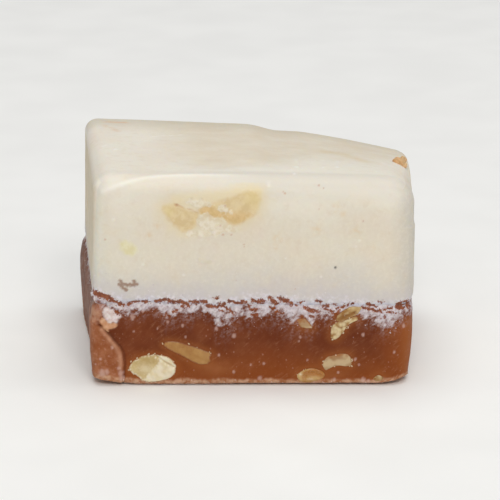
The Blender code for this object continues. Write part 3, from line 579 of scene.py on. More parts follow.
    # small marks in the vanilla
    marks = {"red": np.zeros(n), "white": np.zeros(n)}
    for cx, cy, r in TOP_WHITE_DOTS:
        rows = (side == "top") & (np.abs(x - cx) < 1) & (np.abs(y - cy) < 2)
        marks["white"][rows] = np.maximum(marks["white"][rows], 2.2 * smooth(1.3, 0.5, np.hypot(x[rows] - cx, (y[rows] - cy) * 0.5) / r))
    for key, spots in (("red", RED_DOTS), ("white", WHITE_DOTS)):
        for cx, cz, r in spots:
            rows = is_front & (np.abs(x - cx) < 1) & (np.abs(z - cz) < 1)
            d = np.hypot(x[rows] - cx, (z[rows] - cz) * 1.15) / r
            marks[key][rows] = np.maximum(marks[key][rows], 1 - smooth(0.45, 1.3, d))
    f["red"], f["white"] = marks["red"], marks["white"]
    f["dark"] = np.where(is_front, 1 - smooth(0.08, 0.2, np.hypot(x - DARK_SPECK[0], z - DARK_SPECK[1])), 0)
    orange = np.zeros(n)
    for cx, cz, r in ORANGE_SPOTS:
        rows = is_front & (np.abs(x - cx) < 2) & (np.abs(z - cz) < 2)
        d = np.hypot(x[rows] - cx, z[rows] - cz) / r + 0.5 * noise(x[rows] * 2, 0, z[rows] * 2, 80)
        orange[rows] = np.maximum(orange[rows], np.exp(-(d**2)))
    f["orange"] = orange
    smudge = np.zeros(n)
    rows = is_front & (x < -11) & (z > 10) & (z < 14)
    for points in SMUDGE:
        d = to_line(x[rows], z[rows], points) - 0.19 - 0.13 * noise(x[rows] * 3.5, 0, z[rows] * 3.5, 81) - 0.08 * noise(x[rows] * 8, 0, z[rows] * 8, 82)
        smudge[rows] = np.maximum(smudge[rows], 1 - smooth(-0.08, 0.10, d))
    f["smudge"] = smudge
    dent = np.zeros(n)
    rows = is_front & (z > 13) & (z < 17)
    dent[rows] = np.exp(-((to_line(x[rows], z[rows], DENT) / 0.17) ** 2))
    f["dent"] = dent

    # the top: tan behind a soft crease, grey painted shade at the back edge, a few stains and scrapes, painted glints,
    # a painted highlight on the crest, a painted shade band on the front edge and painted light near the front
    on_top = plain[:, 2] > HEIGHT - 0.8
    height_share = smooth(HEIGHT - 5.2, HEIGHT - 2.2, z)
    behind = y - np.interp(x, CREASE_X, CREASE_Y) + 0.8 * fbm(x * 0.25, y * 0.25, 3, 83, 3)
    reach = 1.6 + 5.0 * smooth(-4.0, 8.0, x)
    tan = smooth(-0.6, 1.0, behind / reach) * smooth(-12.5, -5.5, x + 0.25 * y) * (0.75 + 0.6 * fbm(x * 0.28, y * 0.4, 5, 84, 3))
    f["top_tan"] = np.where(on_top, np.clip(tan, 0, 1), 0)
    # painted shade: the top greyer where it curves down at the back edge
    f["back_edge_shade"] = np.where(on_top, smooth(6.5, 13.5, y + 1.2 * fbm(x * 0.2, y * 0.2, 7, 85, 2)), 0)
    stain = np.exp(-((to_line(x, y, [(8.8, 0.6), (10.8, 0.2), (12.2, -1.4), (13.4, -2.9)]) / 0.9) ** 2)) * (0.7 + 0.5 * fbm(x, y, 1, 86, 3))
    f["top_stain"] = np.where(on_top, stain, 0)
    spots = np.exp(-((to_line(x, y, [(-17.5, 11.5), (-15.3, 11.4)]) / 0.45) ** 2)) + 0.6 * np.exp(-((to_line(x, y, [(-17.7, 9.8), (-15.8, 6.8)]) / 0.4) ** 2))
    f["top_orange"] = np.where(on_top, np.clip(spots, 0, 1) * smooth(-0.5, 0.2, fbm(x * 1.2, y * 1.2, 2, 87, 2)), 0)
    scrape = np.full(n, 9.0)
    rows = on_top & (x < -7) & (y < 8) & (y > -3)
    for points in ([(-11.8, 4.1), (-10.2, 4.8)], [(-9.5, 5.0), (-8.2, 5.5)], [(-17.2, -0.6), (-16.4, 0.3)]):
        scrape[rows] = np.minimum(scrape[rows], to_line(x[rows], y[rows], points))
    f["scrape"] = np.exp(-((scrape / 0.22) ** 2)) * smooth(-0.3, 0.2, noise(x * 4, y * 4, 1, 88))
    # painted glints on the top, merged into the white marks
    painted_glint = np.zeros(n)
    for cx, cy, rx, ry in ((5.3, -5.8, 0.16, 1.0), (10.1, -4.9, 0.2, 0.5), (4.7, -10.3, 0.2, 0.7), (8.4, -4.8, 0.2, 0.4), (15.4, -3.1, 0.3, 0.8), (2.1, -13.9, 0.2, 0.4)):
        painted_glint = np.maximum(painted_glint, np.where(on_top, np.exp(-(((x - cx) / rx) ** 2 + ((y - cy) / ry) ** 2)), 0))
    f["white"] = np.maximum(f["white"], painted_glint)
    # the crest's lip: relief, and a painted highlight along it in the colour
    crest_and_highlight = np.full(n, 9.0)
    rows = (y < -DEPTH / 2 + 3.5) & (z > 21.5) & (x < 2.5)
    pts = np.array(CREST)
    for p, q in zip(pts[:-1], pts[1:]):
        e = q - p
        v = np.stack([x[rows] - p[0], y[rows] - p[1], z[rows] - p[2]], axis=1)
        t = np.clip(v @ e / (e @ e), 0, 1)
        crest_and_highlight[rows] = np.minimum(crest_and_highlight[rows], np.linalg.norm(v - t[:, None] * e, axis=1))
    f["crest_and_highlight"] = np.exp(-((crest_and_highlight / 0.34) ** 2)) * smooth(1.5, -6.0, x)
    # painted shade: a darker band on the rounded edge between top and front, against the light it catches
    edge_band_shade = np.where(side == "top", smooth(-10.6, -12.4, y), 0) + np.where(is_front, smooth(21.3, 23.6, z + 0.5 * fbm(x * 0.3, 0, z * 0.3, 146, 2)), 0)
    # painted light: the top whiter towards its front
    f["top_front_painted_light"] = np.where(on_top & (side == "top"), smooth(-4.0, -12.0, y) * smooth(-6.0, 2.0, x) * smooth(18.6, 16.6, x), 0)
    f["edge_band_shade"] = np.clip(edge_band_shade, 0, 1) * (0.35 + 0.65 * smooth(-9.0, 2.0, x))
    f["drift"] = np.clip(0.5 + 0.75 * fbm(x * 0.09, y * 0.09, z * 0.11, 89, 3), 0, 1)

    # ---- relief
    relief = broad_relief(x, y, z)
    vanilla = smooth(-0.1, 0.25, h)
    relief += vanilla * 0.006 * fbm(x * 3.5, y * 3.5, z * 3.5, 92, 2)
    relief += (1 - vanilla) * 0.014 * fbm(x * 2.6, y * 2.6, z * 1.2, 93, 3)
    small_lumps, fine_lumps = lumps(x, z, 0.5, 94, y), lumps(x, z, 0.28, 95, y)
    relief -= 0.07 * smooth(-0.14, 0.14, f["bare"]) * upright
    relief += powder * (0.03 + 0.05 * fine_lumps + 0.05 * small_lumps)
    dusty = np.exp(-np.clip(h, 0, 99) / 0.8) * smooth(-0.2, 0.1, h) * upright
    relief += dusty * (0.06 * (fine_lumps - 0.3) + 0.08 * (small_lumps - 0.3))
    relief += 0.20 * flap + 0.12 * f["flap_lip_and_highlight"] * upright + 0.04 * flap * fbm(x * 0.9, y * 0.9, z * 0.9, 98, 3)
    relief -= 0.10 * f["flap_shadow"]
    relief += 0.22 * np.maximum(f["white_patch"], f["peach"]) * (0.7 + 0.5 * small_lumps) + 0.12 * rosy
    relief -= 0.22 * bed * (1 - vanilla)
    relief += 0.03 * dots
    relief += on_smear * vanilla * (0.03 + 0.03 * lumps(x, z, 0.8, 107, y) + 0.05 * small_lumps + 0.03 * fine_lumps)
    relief += (0.03 * f["veil"] + 0.04 * f["lobe"] - 0.06 * f["lobe_line"] + 0.04 * f["lemon"]) * vanilla
    relief -= 0.03 * f["red"] * vanilla + 0.08 * f["dark"] + 0.05 * f["smudge"] + 0.08 * f["dent"]
    relief += np.where(is_front, 0.05 * np.exp(-(((x + 5.1) / 0.9) ** 2 + ((z - 15.2) / 0.5) ** 2)), 0)
    relief += 0.03 * f["scrape"] + 0.13 * f["crest_and_highlight"] + 0.04 * f["white"]
    crease = smooth(-1.6, 2.2, behind) * np.exp(-(np.clip(behind, 0, 99) / 6.0) ** 2) * smooth(-14, -7, x) * smooth(7.0, -1.0, x)
    relief -= np.where(on_top, 0.13 * crease, 0)
    # the upright edge at the front right steps in a little high up
    at_edge = smooth(16.6, 17.8, x) * smooth(-11.0, -12.2, y) * smooth(10.0, 10.8, z)
    relief += at_edge * (0.10 * smooth(18.9, 18.6, z) - 0.07 * smooth(18.6, 18.9, z) + 0.03 * noise(0.3, 0.7, z * 1.1, 103))
    relief += f["rim"] * (0.10 * fbm(x * 2.1, y * 2.1, z * 2.1, 102, 3) + 0.08 * fine_lumps + 0.05 * small_lumps) * smooth(0.02, 0.35, z - foot)
    relief *= smooth(0.0, 0.10, z - foot)
    f["relief"] = relief
    return f


# ================================================================ meshes


def refined(values, ratio):
    out = []
    for a, b in zip(values[:-1], values[1:]):
        out += [a + (b - a) * k / ratio for k in range(ratio)]
    return np.array(out + [values[-1]])


def layer_shell(xs, ys, zs, ratio, cap_top, cap_base):
    """The surface of a slab of the plain block as (points, faces). Its front has ratio times the cells of its other
    sides. A capped end has three rings and one face instead of cells."""
    nx, ny, nz = len(xs) - 1, len(ys) - 1, len(zs) - 1
    xf, zf = refined(xs, ratio), refined(zs, ratio)
    mx, mz = len(xf) - 1, len(zf) - 1
    gx, gz = np.meshgrid(xf, zf, indexing="ij")
    points = [np.stack([gx.ravel(), np.full(gx.size, ys[0]), gz.ravel()], axis=1)]
    count = gx.size

    def fine(a, b):
        return a * (mz + 1) + b

    index = np.full((nx + 1, ny + 1, nz + 1), -1, np.int64)
    for i in range(nx + 1):
        for k in (0, nz):
            index[i, 0, k] = fine(i * ratio, k * ratio)
    for k in range(nz + 1):
        for i in (0, nx):
            index[i, 0, k] = fine(i * ratio, k * ratio)
    keep = np.zeros(index.shape, bool)
    keep[0, 1:, :] = keep[nx, 1:, :] = keep[:, ny, :] = True
    for k, capped in ((0, cap_base), (nz, cap_top)):
        if not capped:
            keep[:, 1:, k] = True
    ii, jj, kk = np.nonzero(keep)
    index[ii, jj, kk] = count + np.arange(len(ii))
    points.append(np.stack([xs[ii], ys[jj], zs[kk]], axis=1))
    count += len(ii)

    faces = []
    a, b = np.meshgrid(np.arange(mx), np.arange(mz), indexing="ij")
    a, b = a.ravel(), b.ravel()
    faces += np.stack([fine(a, b), fine(a + 1, b), fine(a + 1, b + 1), fine(a, b + 1)], axis=1).tolist()

    def cells(n, m, corner, flip, first_row):
        """Cells of one side. first_row gives the extra points of the edge that it shares with the front."""
        for p in range(n):
            for q in range(m):
                face = [corner(p, q), corner(p + 1, q), corner(p + 1, q + 1), corner(p, q + 1)]
                if first_row is not None and q == 0:
                    face = face[:1] + first_row(p) + face[1:]
                faces.append(face[::-1] if flip else face)

    def front_up(i_fine):
        return lambda p: [fine(i_fine, p * ratio + r) for r in range(1, ratio)]

    def front_across(k_fine):
        return lambda p: [fine(p * ratio + r, k_fine) for r in range(1, ratio)]

    # along the height and then back: left and right; across and then back: top and base
    cells(nz, ny, lambda p, q: index[0, q, p], False, front_up(0))
    cells(nz, ny, lambda p, q: index[nx, q, p], True, front_up(mx))
    cells(nx, nz, lambda p, q: index[p, ny, q], True, None)
    if not cap_top:
        cells(nx, ny, lambda p, q: index[p, q, nz], False, front_across(mz))
    if not cap_base:
        cells(nx, ny, lambda p, q: index[p, q, 0], True, front_across(0))

    def cap(k, k_fine, rings, upwards):
        nonlocal count
        loop = [fine(p, k_fine) for p in range(mx)]
        loop += [index[nx, q, k] for q in range(ny)]
        loop[mx] = fine(mx, k_fine)
        loop += [index[nx - p, ny, k] for p in range(nx)]
        loop += [index[0, ny - q, k] for q in range(ny)]
        stack = np.concatenate(points)
        around = stack[loop]
        previous = loop
        for inset, lift in rings:
            ring = around.copy()
            ring[:, 0] *= 1 - inset / (WIDTH / 2)
            ring[:, 1] *= 1 - inset / (DEPTH / 2)
            ring[:, 2] += lift
            points.append(ring)
            now = list(range(count, count + len(ring)))
            count += len(ring)
            for m in range(len(loop)):
                n = (m + 1) % len(loop)
                face = [previous[m], previous[n], now[n], now[m]]
                faces.append(face if upwards else face[::-1])
            previous = now
        faces.append(previous if upwards else previous[::-1])

    if cap_top:
        cap(nz, mz, [(0.5, -0.25), (1.5, -0.4)], True)
    if cap_base and zs[0] > 1:
        cap(0, 0, [(0.5, 0.25), (1.5, 0.4)], False)
    elif cap_base:
        cap(0, 0, [(d, 0.0) for d in (0.12, 0.28, 0.5, 0.9, 1.5, 2.4, 3.6, 5.0, 7.0, 9.5, 11.5)], False)
    return np.concatenate(points), faces


def make_mesh(name, points_mm, faces, attributes=None, centre=True, sharp=0):
    mesh = bpy.data.meshes.new(name)
    where = (np.asarray(points_mm, float) - (CENTRE if centre else 0)) * MM
    mesh.from_pydata(where.tolist(), [], faces)
    mesh.validate()
    for key, values in (attributes or {}).items():
        attribute = mesh.attributes.new(key, "FLOAT", "POINT")
        attribute.data.foreach_set("value", np.asarray(values, np.float32))
    mesh.shade_smooth()
    if sharp:
        mesh.set_sharp_from_angle(angle=math.radians(sharp))
    made = bpy.data.objects.new(name, mesh)
    bpy.context.scene.collection.objects.link(made)
    return made


def lattice(low, high, cell):
    return np.linspace(low, high, max(2, int(round((high - low) / cell))) + 1)


CELL = 0.24
XS = lattice(-WIDTH / 2, WIDTH / 2, CELL)
YS = lattice(-DEPTH / 2, DEPTH / 2, CELL)
ZS_VANILLA = np.concatenate([lattice(SEAM, 11.4, 0.12), lattice(11.4, HEIGHT, 0.25)[1:]])
ZS_CHOCOLATE = np.concatenate([lattice(0.0, 8.0, 0.21), lattice(8.0, SEAM, 0.12)[1:]])


def layer(name, zs, cap_top, cap_base, kept):
    plain, faces = layer_shell(XS, YS, zs, 2, cap_top, cap_base)
    side = side_of(plain)
    form = block_form(plain)
    normal = np.zeros_like(form)
    for place in SIDES:
        rows = side == place
        if rows.any():
            normal[rows] = normals_at(plain[rows], place)
    f = fields(form, plain, side)
    inside = (plain[:, 2] > SEAM - 1) & (np.abs(plain[:, 0]) < WIDTH / 2 - 0.01) & (np.abs(plain[:, 1]) < DEPTH / 2 - 0.01) & (plain[:, 2] < HEIGHT - 0.01)
    relief = np.where(inside, 0.0, f["relief"])
    finished = form + normal * relief[:, None]
    finished[:, 2] = np.maximum(finished[:, 2], 0.0)
    return make_mesh(name, finished, faces, {key: f[key] for key in kept}, sharp=60)


# ================================================================ materials


def srgb(r, g, b):
    def one(c):
        c = c / 255
        return c / 12.92 if c <= 0.04045 else ((c + 0.055) / 1.055) ** 2.4

    return (one(r), one(g), one(b), 1.0)


class Shader:
    """A material's node tree, with short ways to add to it."""

    def __init__(self, name, **settings):
        self.material = bpy.data.materials.new(name)
        self.material.use_nodes = True
        self.tree = self.material.node_tree
        self.tree.nodes.clear()
        self.out = self.tree.nodes.new("ShaderNodeOutputMaterial")
        self.bsdf = self.tree.nodes.new("ShaderNodeBsdfPrincipled")
        self.tree.links.new(self.bsdf.outputs[0], self.out.inputs["Surface"])
        coordinates = self.tree.nodes.new("ShaderNodeTexCoord")
        scaled = self.tree.nodes.new("ShaderNodeVectorMath")
        scaled.operation = "SCALE"
        scaled.inputs["Scale"].default_value = 1000.0
        self.tree.links.new(coordinates.outputs["Object"], scaled.inputs[0])
        self.mm = scaled.outputs[0]
        for key, value in settings.items():
            self.bsdf.inputs[key.replace("_", " ")].default_value = value

    def set(self, name, value):
        self.bsdf.inputs[name].default_value = value

    def put(self, socket, value):
        if hasattr(value, "links"):
            self.tree.links.new(value, socket)
        else:
            socket.default_value = value

    def attr(self, name):
        node = self.tree.nodes.new("ShaderNodeAttribute")
        node.attribute_name = name
        return node.outputs["Fac"]

    def stretch(self, x, y, z):
        node = self.tree.nodes.new("ShaderNodeVectorMath")
        node.operation = "MULTIPLY"
        self.tree.links.new(self.mm, node.inputs[0])
        node.inputs[1].default_value = (x, y, z)
        return node.outputs[0]

    def streak_space(self, degrees, along, across):
        """Coordinates of the front face turned so that a pattern in them runs in streaks up to the right."""
        turn = self.tree.nodes.new("ShaderNodeMapping")
        turn.vector_type = "POINT"
        self.tree.links.new(self.mm, turn.inputs["Vector"])
        turn.inputs["Rotation"].default_value = (0.0, math.radians(degrees), 0.0)
        node = self.tree.nodes.new("ShaderNodeVectorMath")
        node.operation = "MULTIPLY"
        self.tree.links.new(turn.outputs[0], node.inputs[0])
        node.inputs[1].default_value = (along, 1.0, across)
        return node.outputs[0]

    def noise(self, scale, detail=3.0, rough=0.5, vector=None, distort=0.0):
        node = self.tree.nodes.new("ShaderNodeTexNoise")
        node.inputs["Scale"].default_value = scale
        node.inputs["Detail"].default_value = detail
        node.inputs["Roughness"].default_value = rough
        node.inputs["Distortion"].default_value = distort
        self.tree.links.new(vector or self.mm, node.inputs["Vector"])
        return node.outputs["Fac"]

    def voronoi(self, scale, vector=None, feature="F1", output="Distance"):
        node = self.tree.nodes.new("ShaderNodeTexVoronoi")
        node.feature = feature
        node.inputs["Scale"].default_value = scale
        self.tree.links.new(vector or self.mm, node.inputs["Vector"])
        return node.outputs[output]

    def math(self, operation, a, b=0.0, clamp=False):
        node = self.tree.nodes.new("ShaderNodeMath")
        node.operation = operation
        node.use_clamp = clamp
        self.put(node.inputs[0], a)
        self.put(node.inputs[1], b)
        return node.outputs[0]

    def span(self, value, low, high, to_low=0.0, to_high=1.0):
        node = self.tree.nodes.new("ShaderNodeMapRange")
        node.interpolation_type = "SMOOTHSTEP"
        self.put(node.inputs["Value"], value)
        node.inputs["From Min"].default_value = low
        node.inputs["From Max"].default_value = high
        node.inputs["To Min"].default_value = to_low
        node.inputs["To Max"].default_value = to_high
        return node.outputs["Result"]

    def mix(self, share, a, b, blend="MIX"):
        node = self.tree.nodes.new("ShaderNodeMix")
        node.data_type = "RGBA"
        node.blend_type = blend
        self.put(node.inputs["Factor"], share)
        self.put(node.inputs[6], a)
        self.put(node.inputs[7], b)
        return node.outputs[2]

    def color(self, value):
        self.put(self.bsdf.inputs["Base Color"], value)

    def rough(self, value):
        self.put(self.bsdf.inputs["Roughness"], value)

    def bump(self, height, distance, strength=1.0):
        node = self.tree.nodes.new("ShaderNodeBump")
        node.inputs["Strength"].default_value = strength
        node.inputs["Distance"].default_value = distance
        self.tree.links.new(height, node.inputs["Height"])
        self.tree.links.new(node.outputs[0], self.bsdf.inputs["Normal"])


def soft(shader, weight, radius, scale_mm):
    shader.set("Subsurface Weight", weight)
    shader.set("Subsurface Radius", radius)
    shader.set("Subsurface Scale", scale_mm * MM)


def picked(s, scale, low, radius, channel=1, vector=None, softness=0.05):
    """Round specks: some cells of a Voronoi pattern, each with its own size."""
    cell = s.voronoi(scale, vector)
    pick = s.tree.nodes.new("ShaderNodeSeparateColor")
    s.tree.links.new(s.voronoi(scale, vector, output="Color"), pick.inputs[0])
    size = s.math("MULTIPLY", s.span(pick.outputs[channel], low, 1.0), radius)
    return s.span(s.math("SUBTRACT", size, cell), 0.0, softness)


def powder_share(s):
    """How much powder lies on the chocolate: solid under the crack, then soft clumps, then a thin haze."""
    under = s.attr("under")
    clump = s.math("SUBTRACT", s.noise(0.95, 3.0, 0.6, s.stretch(1.0, 1.0, 0.8)), 0.5)
    lump = s.math("SUBTRACT", s.noise(2.3, 3.0, 0.6, s.streak_space(40.0, 0.62, 1.0)), 0.5)
    fine = s.math("SUBTRACT", s.noise(5.0, 2.0, 0.5), 0.5)
    total = s.math("SUBTRACT", 1.32, s.math("MULTIPLY", under, 0.74))
    total = s.math("ADD", total, s.math("MULTIPLY", clump, 1.7))
    total = s.math("ADD", total, s.math("MULTIPLY", lump, 1.9))
    total = s.math("ADD", total, s.math("MULTIPLY", fine, 0.45))
    solid = s.span(total, 0.18, 1.0)
    haze = s.math("MULTIPLY", s.span(under, 0.8, 3.2, 0.24, 0.0), s.span(s.math("ADD", lump, s.math("MULTIPLY", fine, 0.8)), -0.12, 0.24))
    return s.math("MAXIMUM", s.math("MULTIPLY", solid, 0.96), haze)


def bare_share(s):
    """The chocolate laid bare along the crack, with a finely torn edge."""
    torn = s.math("MULTIPLY", s.math("SUBTRACT", s.noise(3.1, 3.0, 0.65), 0.5), 1.05)
    fine = s.math("MULTIPLY", s.math("SUBTRACT", s.noise(7.5, 2.0, 0.6), 0.5), 0.45)
    edge = s.math("ADD", s.math("ADD", s.attr("bare"), 0.055), s.math("ADD", torn, fine))
    return s.math("MULTIPLY", s.span(edge, -0.07, 0.08), 0.94)


POWDER = srgb(196, 184, 188), srgb(222, 214, 217)
BARE_COLOUR = srgb(118, 54, 17), srgb(147, 77, 34)


def vanilla_material():
    s = Shader("vanilla_fudge")
    s.set("Specular IOR Level", 0.20)
    soft(s, 0.45, (1.0, 0.75, 0.42), 1.1)
    h = s.attr("height_over_crack")
    # darker and greyer low down towards the crack: partly cocoa dust, partly painted shade where less light reaches
    low, mid, upper = srgb(212, 207, 200), srgb(227, 219, 202), srgb(236, 230, 216)
    drift = s.math("MULTIPLY", s.math("SUBTRACT", s.attr("drift"), 0.5), 4.0)
    base = s.mix(s.span(s.math("ADD", h, drift), 0.5, 6.5), low, mid)
    base = s.mix(s.span(s.math("ADD", h, drift), 8.5, 13.5), base, upper)
    rosy = s.span(s.noise(0.16, 3.0, 0.5), 0.44, 0.66)
    base = s.mix(s.math("MULTIPLY", rosy, 0.22), base, srgb(228, 208, 186))
    # painted shade towards the front's left edge
    base = s.mix(s.math("MULTIPLY", s.attr("left_edge_shade"), 0.75), base, srgb(216, 216, 204))
    base = s.mix(s.math("MULTIPLY", s.attr("beige"), 0.40), base, srgb(224, 210, 192))
    # tan of the sides, partly painted shade on the left
    base = s.mix(s.math("MULTIPLY", s.attr("left_side_tan_and_shade"), 0.85), base, s.mix(s.span(s.noise(0.4, 4.0, 0.6), 0.35, 0.65), srgb(203, 184, 146), srgb(214, 197, 164)))
    # painted shade at the front right edge
    base = s.mix(s.math("MULTIPLY", s.attr("right_edge_shade"), 0.75), base, srgb(204, 199, 188))
    fine = s.noise(2.6, 4.0, 0.6)
    base = s.mix(s.math("MULTIPLY", s.span(fine, 0.40, 0.75), 0.22), base, srgb(243, 237, 222))
    mott = s.noise(0.9, 4.0, 0.65)
    base = s.mix(s.math("MULTIPLY", s.span(mott, 0.50, 0.72), 0.20), base, srgb(213, 194, 164))
    base = s.mix(s.math("MULTIPLY", s.attr("top_tan"), 0.70), base, srgb(219, 204, 178))
    # painted shade at the top's back edge
    base = s.mix(s.math("MULTIPLY", s.attr("back_edge_shade"), 0.65), base, srgb(200, 191, 170))
    # painted light on the top near the front
    base = s.mix(s.math("MULTIPLY", s.attr("top_front_painted_light"), 0.55), base, srgb(243, 238, 224))
    # painted shade on the rounded front-top edge
    base = s.mix(s.math("MULTIPLY", s.attr("edge_band_shade"), 0.80), base, srgb(219, 213, 201))
    # painted glow round the nuts in the vanilla
    base = s.mix(s.math("MULTIPLY", s.attr("painted_glow"), 0.42), base, srgb(231, 213, 172))
    base = s.mix(s.math("MULTIPLY", s.attr("veil"), 0.62), base, srgb(232, 218, 182))
    lobe = s.mix(s.span(s.noise(0.9, 4.0, 0.6), 0.36, 0.64), srgb(217, 192, 144), srgb(229, 209, 166))
    base = s.mix(s.math("MULTIPLY", s.attr("lobe"), 0.90), base, lobe)
    base = s.mix(s.math("MULTIPLY", s.attr("lobe_tan"), 0.80), base, s.mix(s.span(s.noise(1.3, 3.0, 0.55), 0.36, 0.64), srgb(213, 180, 124), srgb(225, 196, 144)))
    base = s.mix(s.math("MULTIPLY", s.attr("lobe_yellow"), 0.58), base, srgb(229, 211, 156))
    base = s.mix(s.math("MULTIPLY", s.attr("lobe_line"), 0.46), base, srgb(200, 154, 94))
    base = s.mix(s.math("MULTIPLY", s.attr("lemon"), 0.80), base, s.mix(s.span(s.noise(1.2, 3.0, 0.55), 0.36, 0.64), srgb(224, 214, 166), srgb(232, 225, 190)))
    base = s.mix(s.math("MULTIPLY", s.attr("orange"), s.span(s.noise(1.6, 3.0, 0.6), 0.38, 0.62, 0.02, 0.30)), base, srgb(222, 184, 122))
    base = s.mix(s.math("MULTIPLY", s.attr("top_stain"), 0.45), base, srgb(214, 190, 136))
    base = s.mix(s.math("MULTIPLY", s.attr("top_orange"), 0.55), base, srgb(222, 172, 124))
    # painted highlight along the crest
    base = s.mix(s.math("MULTIPLY", s.attr("crest_and_highlight"), 0.60), base, srgb(243, 241, 232))
    base = s.mix(s.math("MULTIPLY", s.attr("scrape"), 0.7), base, srgb(246, 240, 232))
    torn = s.math("MULTIPLY", s.math("SUBTRACT", s.noise(2.4, 4.0, 0.7), 0.5), 1.1)
    crumbs = s.span(s.math("ADD", s.attr("smear"), torn), -0.10, 0.18)
    base = s.mix(s.math("MULTIPLY", crumbs, 0.76), base, s.mix(s.span(s.noise(1.8, 3.0, 0.6), 0.35, 0.66), srgb(222, 208, 180), srgb(238, 230, 213)))
    # dust near the crack, lilac grey and then white and lumpy
    dust_noise = s.math("SUBTRACT", s.noise(0.8, 4.0, 0.6), 0.5)
    grey = s.span(s.math("SUBTRACT", h, s.math("MULTIPLY", dust_noise, 3.0)), 3.2, -0.2)
    base = s.mix(s.math("MULTIPLY", grey, 0.80), base, srgb(208, 201, 201))
    fine_dust = s.math("SUBTRACT", s.noise(2.6, 4.0, 0.6), 0.5)
    near = s.math("ADD", s.math("MULTIPLY", fine_dust, 2.4), s.math("MULTIPLY", dust_noise, 1.6))
    white = s.span(s.math("SUBTRACT", h, near), 1.1, -0.1)
    base = s.mix(s.math("MULTIPLY", white, 0.75), base, s.mix(s.span(fine_dust, -0.12, 0.14), srgb(212, 204, 210), srgb(232, 227, 233)))
    flecks = s.math("MULTIPLY", picked(s, 2.0, 0.62, 0.24, 0, softness=0.14), s.span(h, 6.0, 0.3, 0.14, 0.42))
    base = s.mix(flecks, base, srgb(244, 241, 237))
    # white specks, and the painted glints on the top
    base = s.mix(s.math("MULTIPLY", s.attr("white"), 0.30), base, srgb(248, 246, 240))
    base = s.mix(s.math("MULTIPLY", s.attr("red"), 0.50), base, srgb(190, 128, 92))
    base = s.mix(s.math("MULTIPLY", s.attr("dark"), 0.85), base, srgb(80, 74, 60))
    base = s.mix(s.math("MULTIPLY", s.attr("smudge"), 0.80), base, srgb(152, 116, 94))
    # under the crack the vanilla's foot is powdered like the chocolate
    foot = s.mix(powder_share(s), srgb(124, 66, 42), s.mix(s.span(s.noise(2.6, 3.0, 0.6), 0.34, 0.66), *POWDER))
    base = s.mix(s.span(s.math("SUBTRACT", h, s.math("MULTIPLY", fine_dust, 0.9)), 0.10, -0.14), base, foot)
    base = s.mix(bare_share(s), base, s.mix(s.span(s.noise(2.4, 3.0, 0.6), 0.35, 0.65), *BARE_COLOUR))
    s.color(base)
    shine = s.span(s.noise(1.4, 3.0, 0.55), 0.3, 0.75, 0.42, 0.56)
    s.rough(s.math("ADD", shine, s.math("MULTIPLY", grey, 0.25), True))
    tiny = s.math("ADD", s.math("MULTIPLY", s.noise(6.0, 4.0, 0.6), 0.7), s.math("MULTIPLY", s.noise(1.6, 2.0, 0.5), 0.6))
    tiny = s.math("ADD", tiny, s.math("MULTIPLY", s.math("MULTIPLY", white, fine_dust), 1.6))
    s.bump(tiny, 0.00004, 0.75)
    return s.material


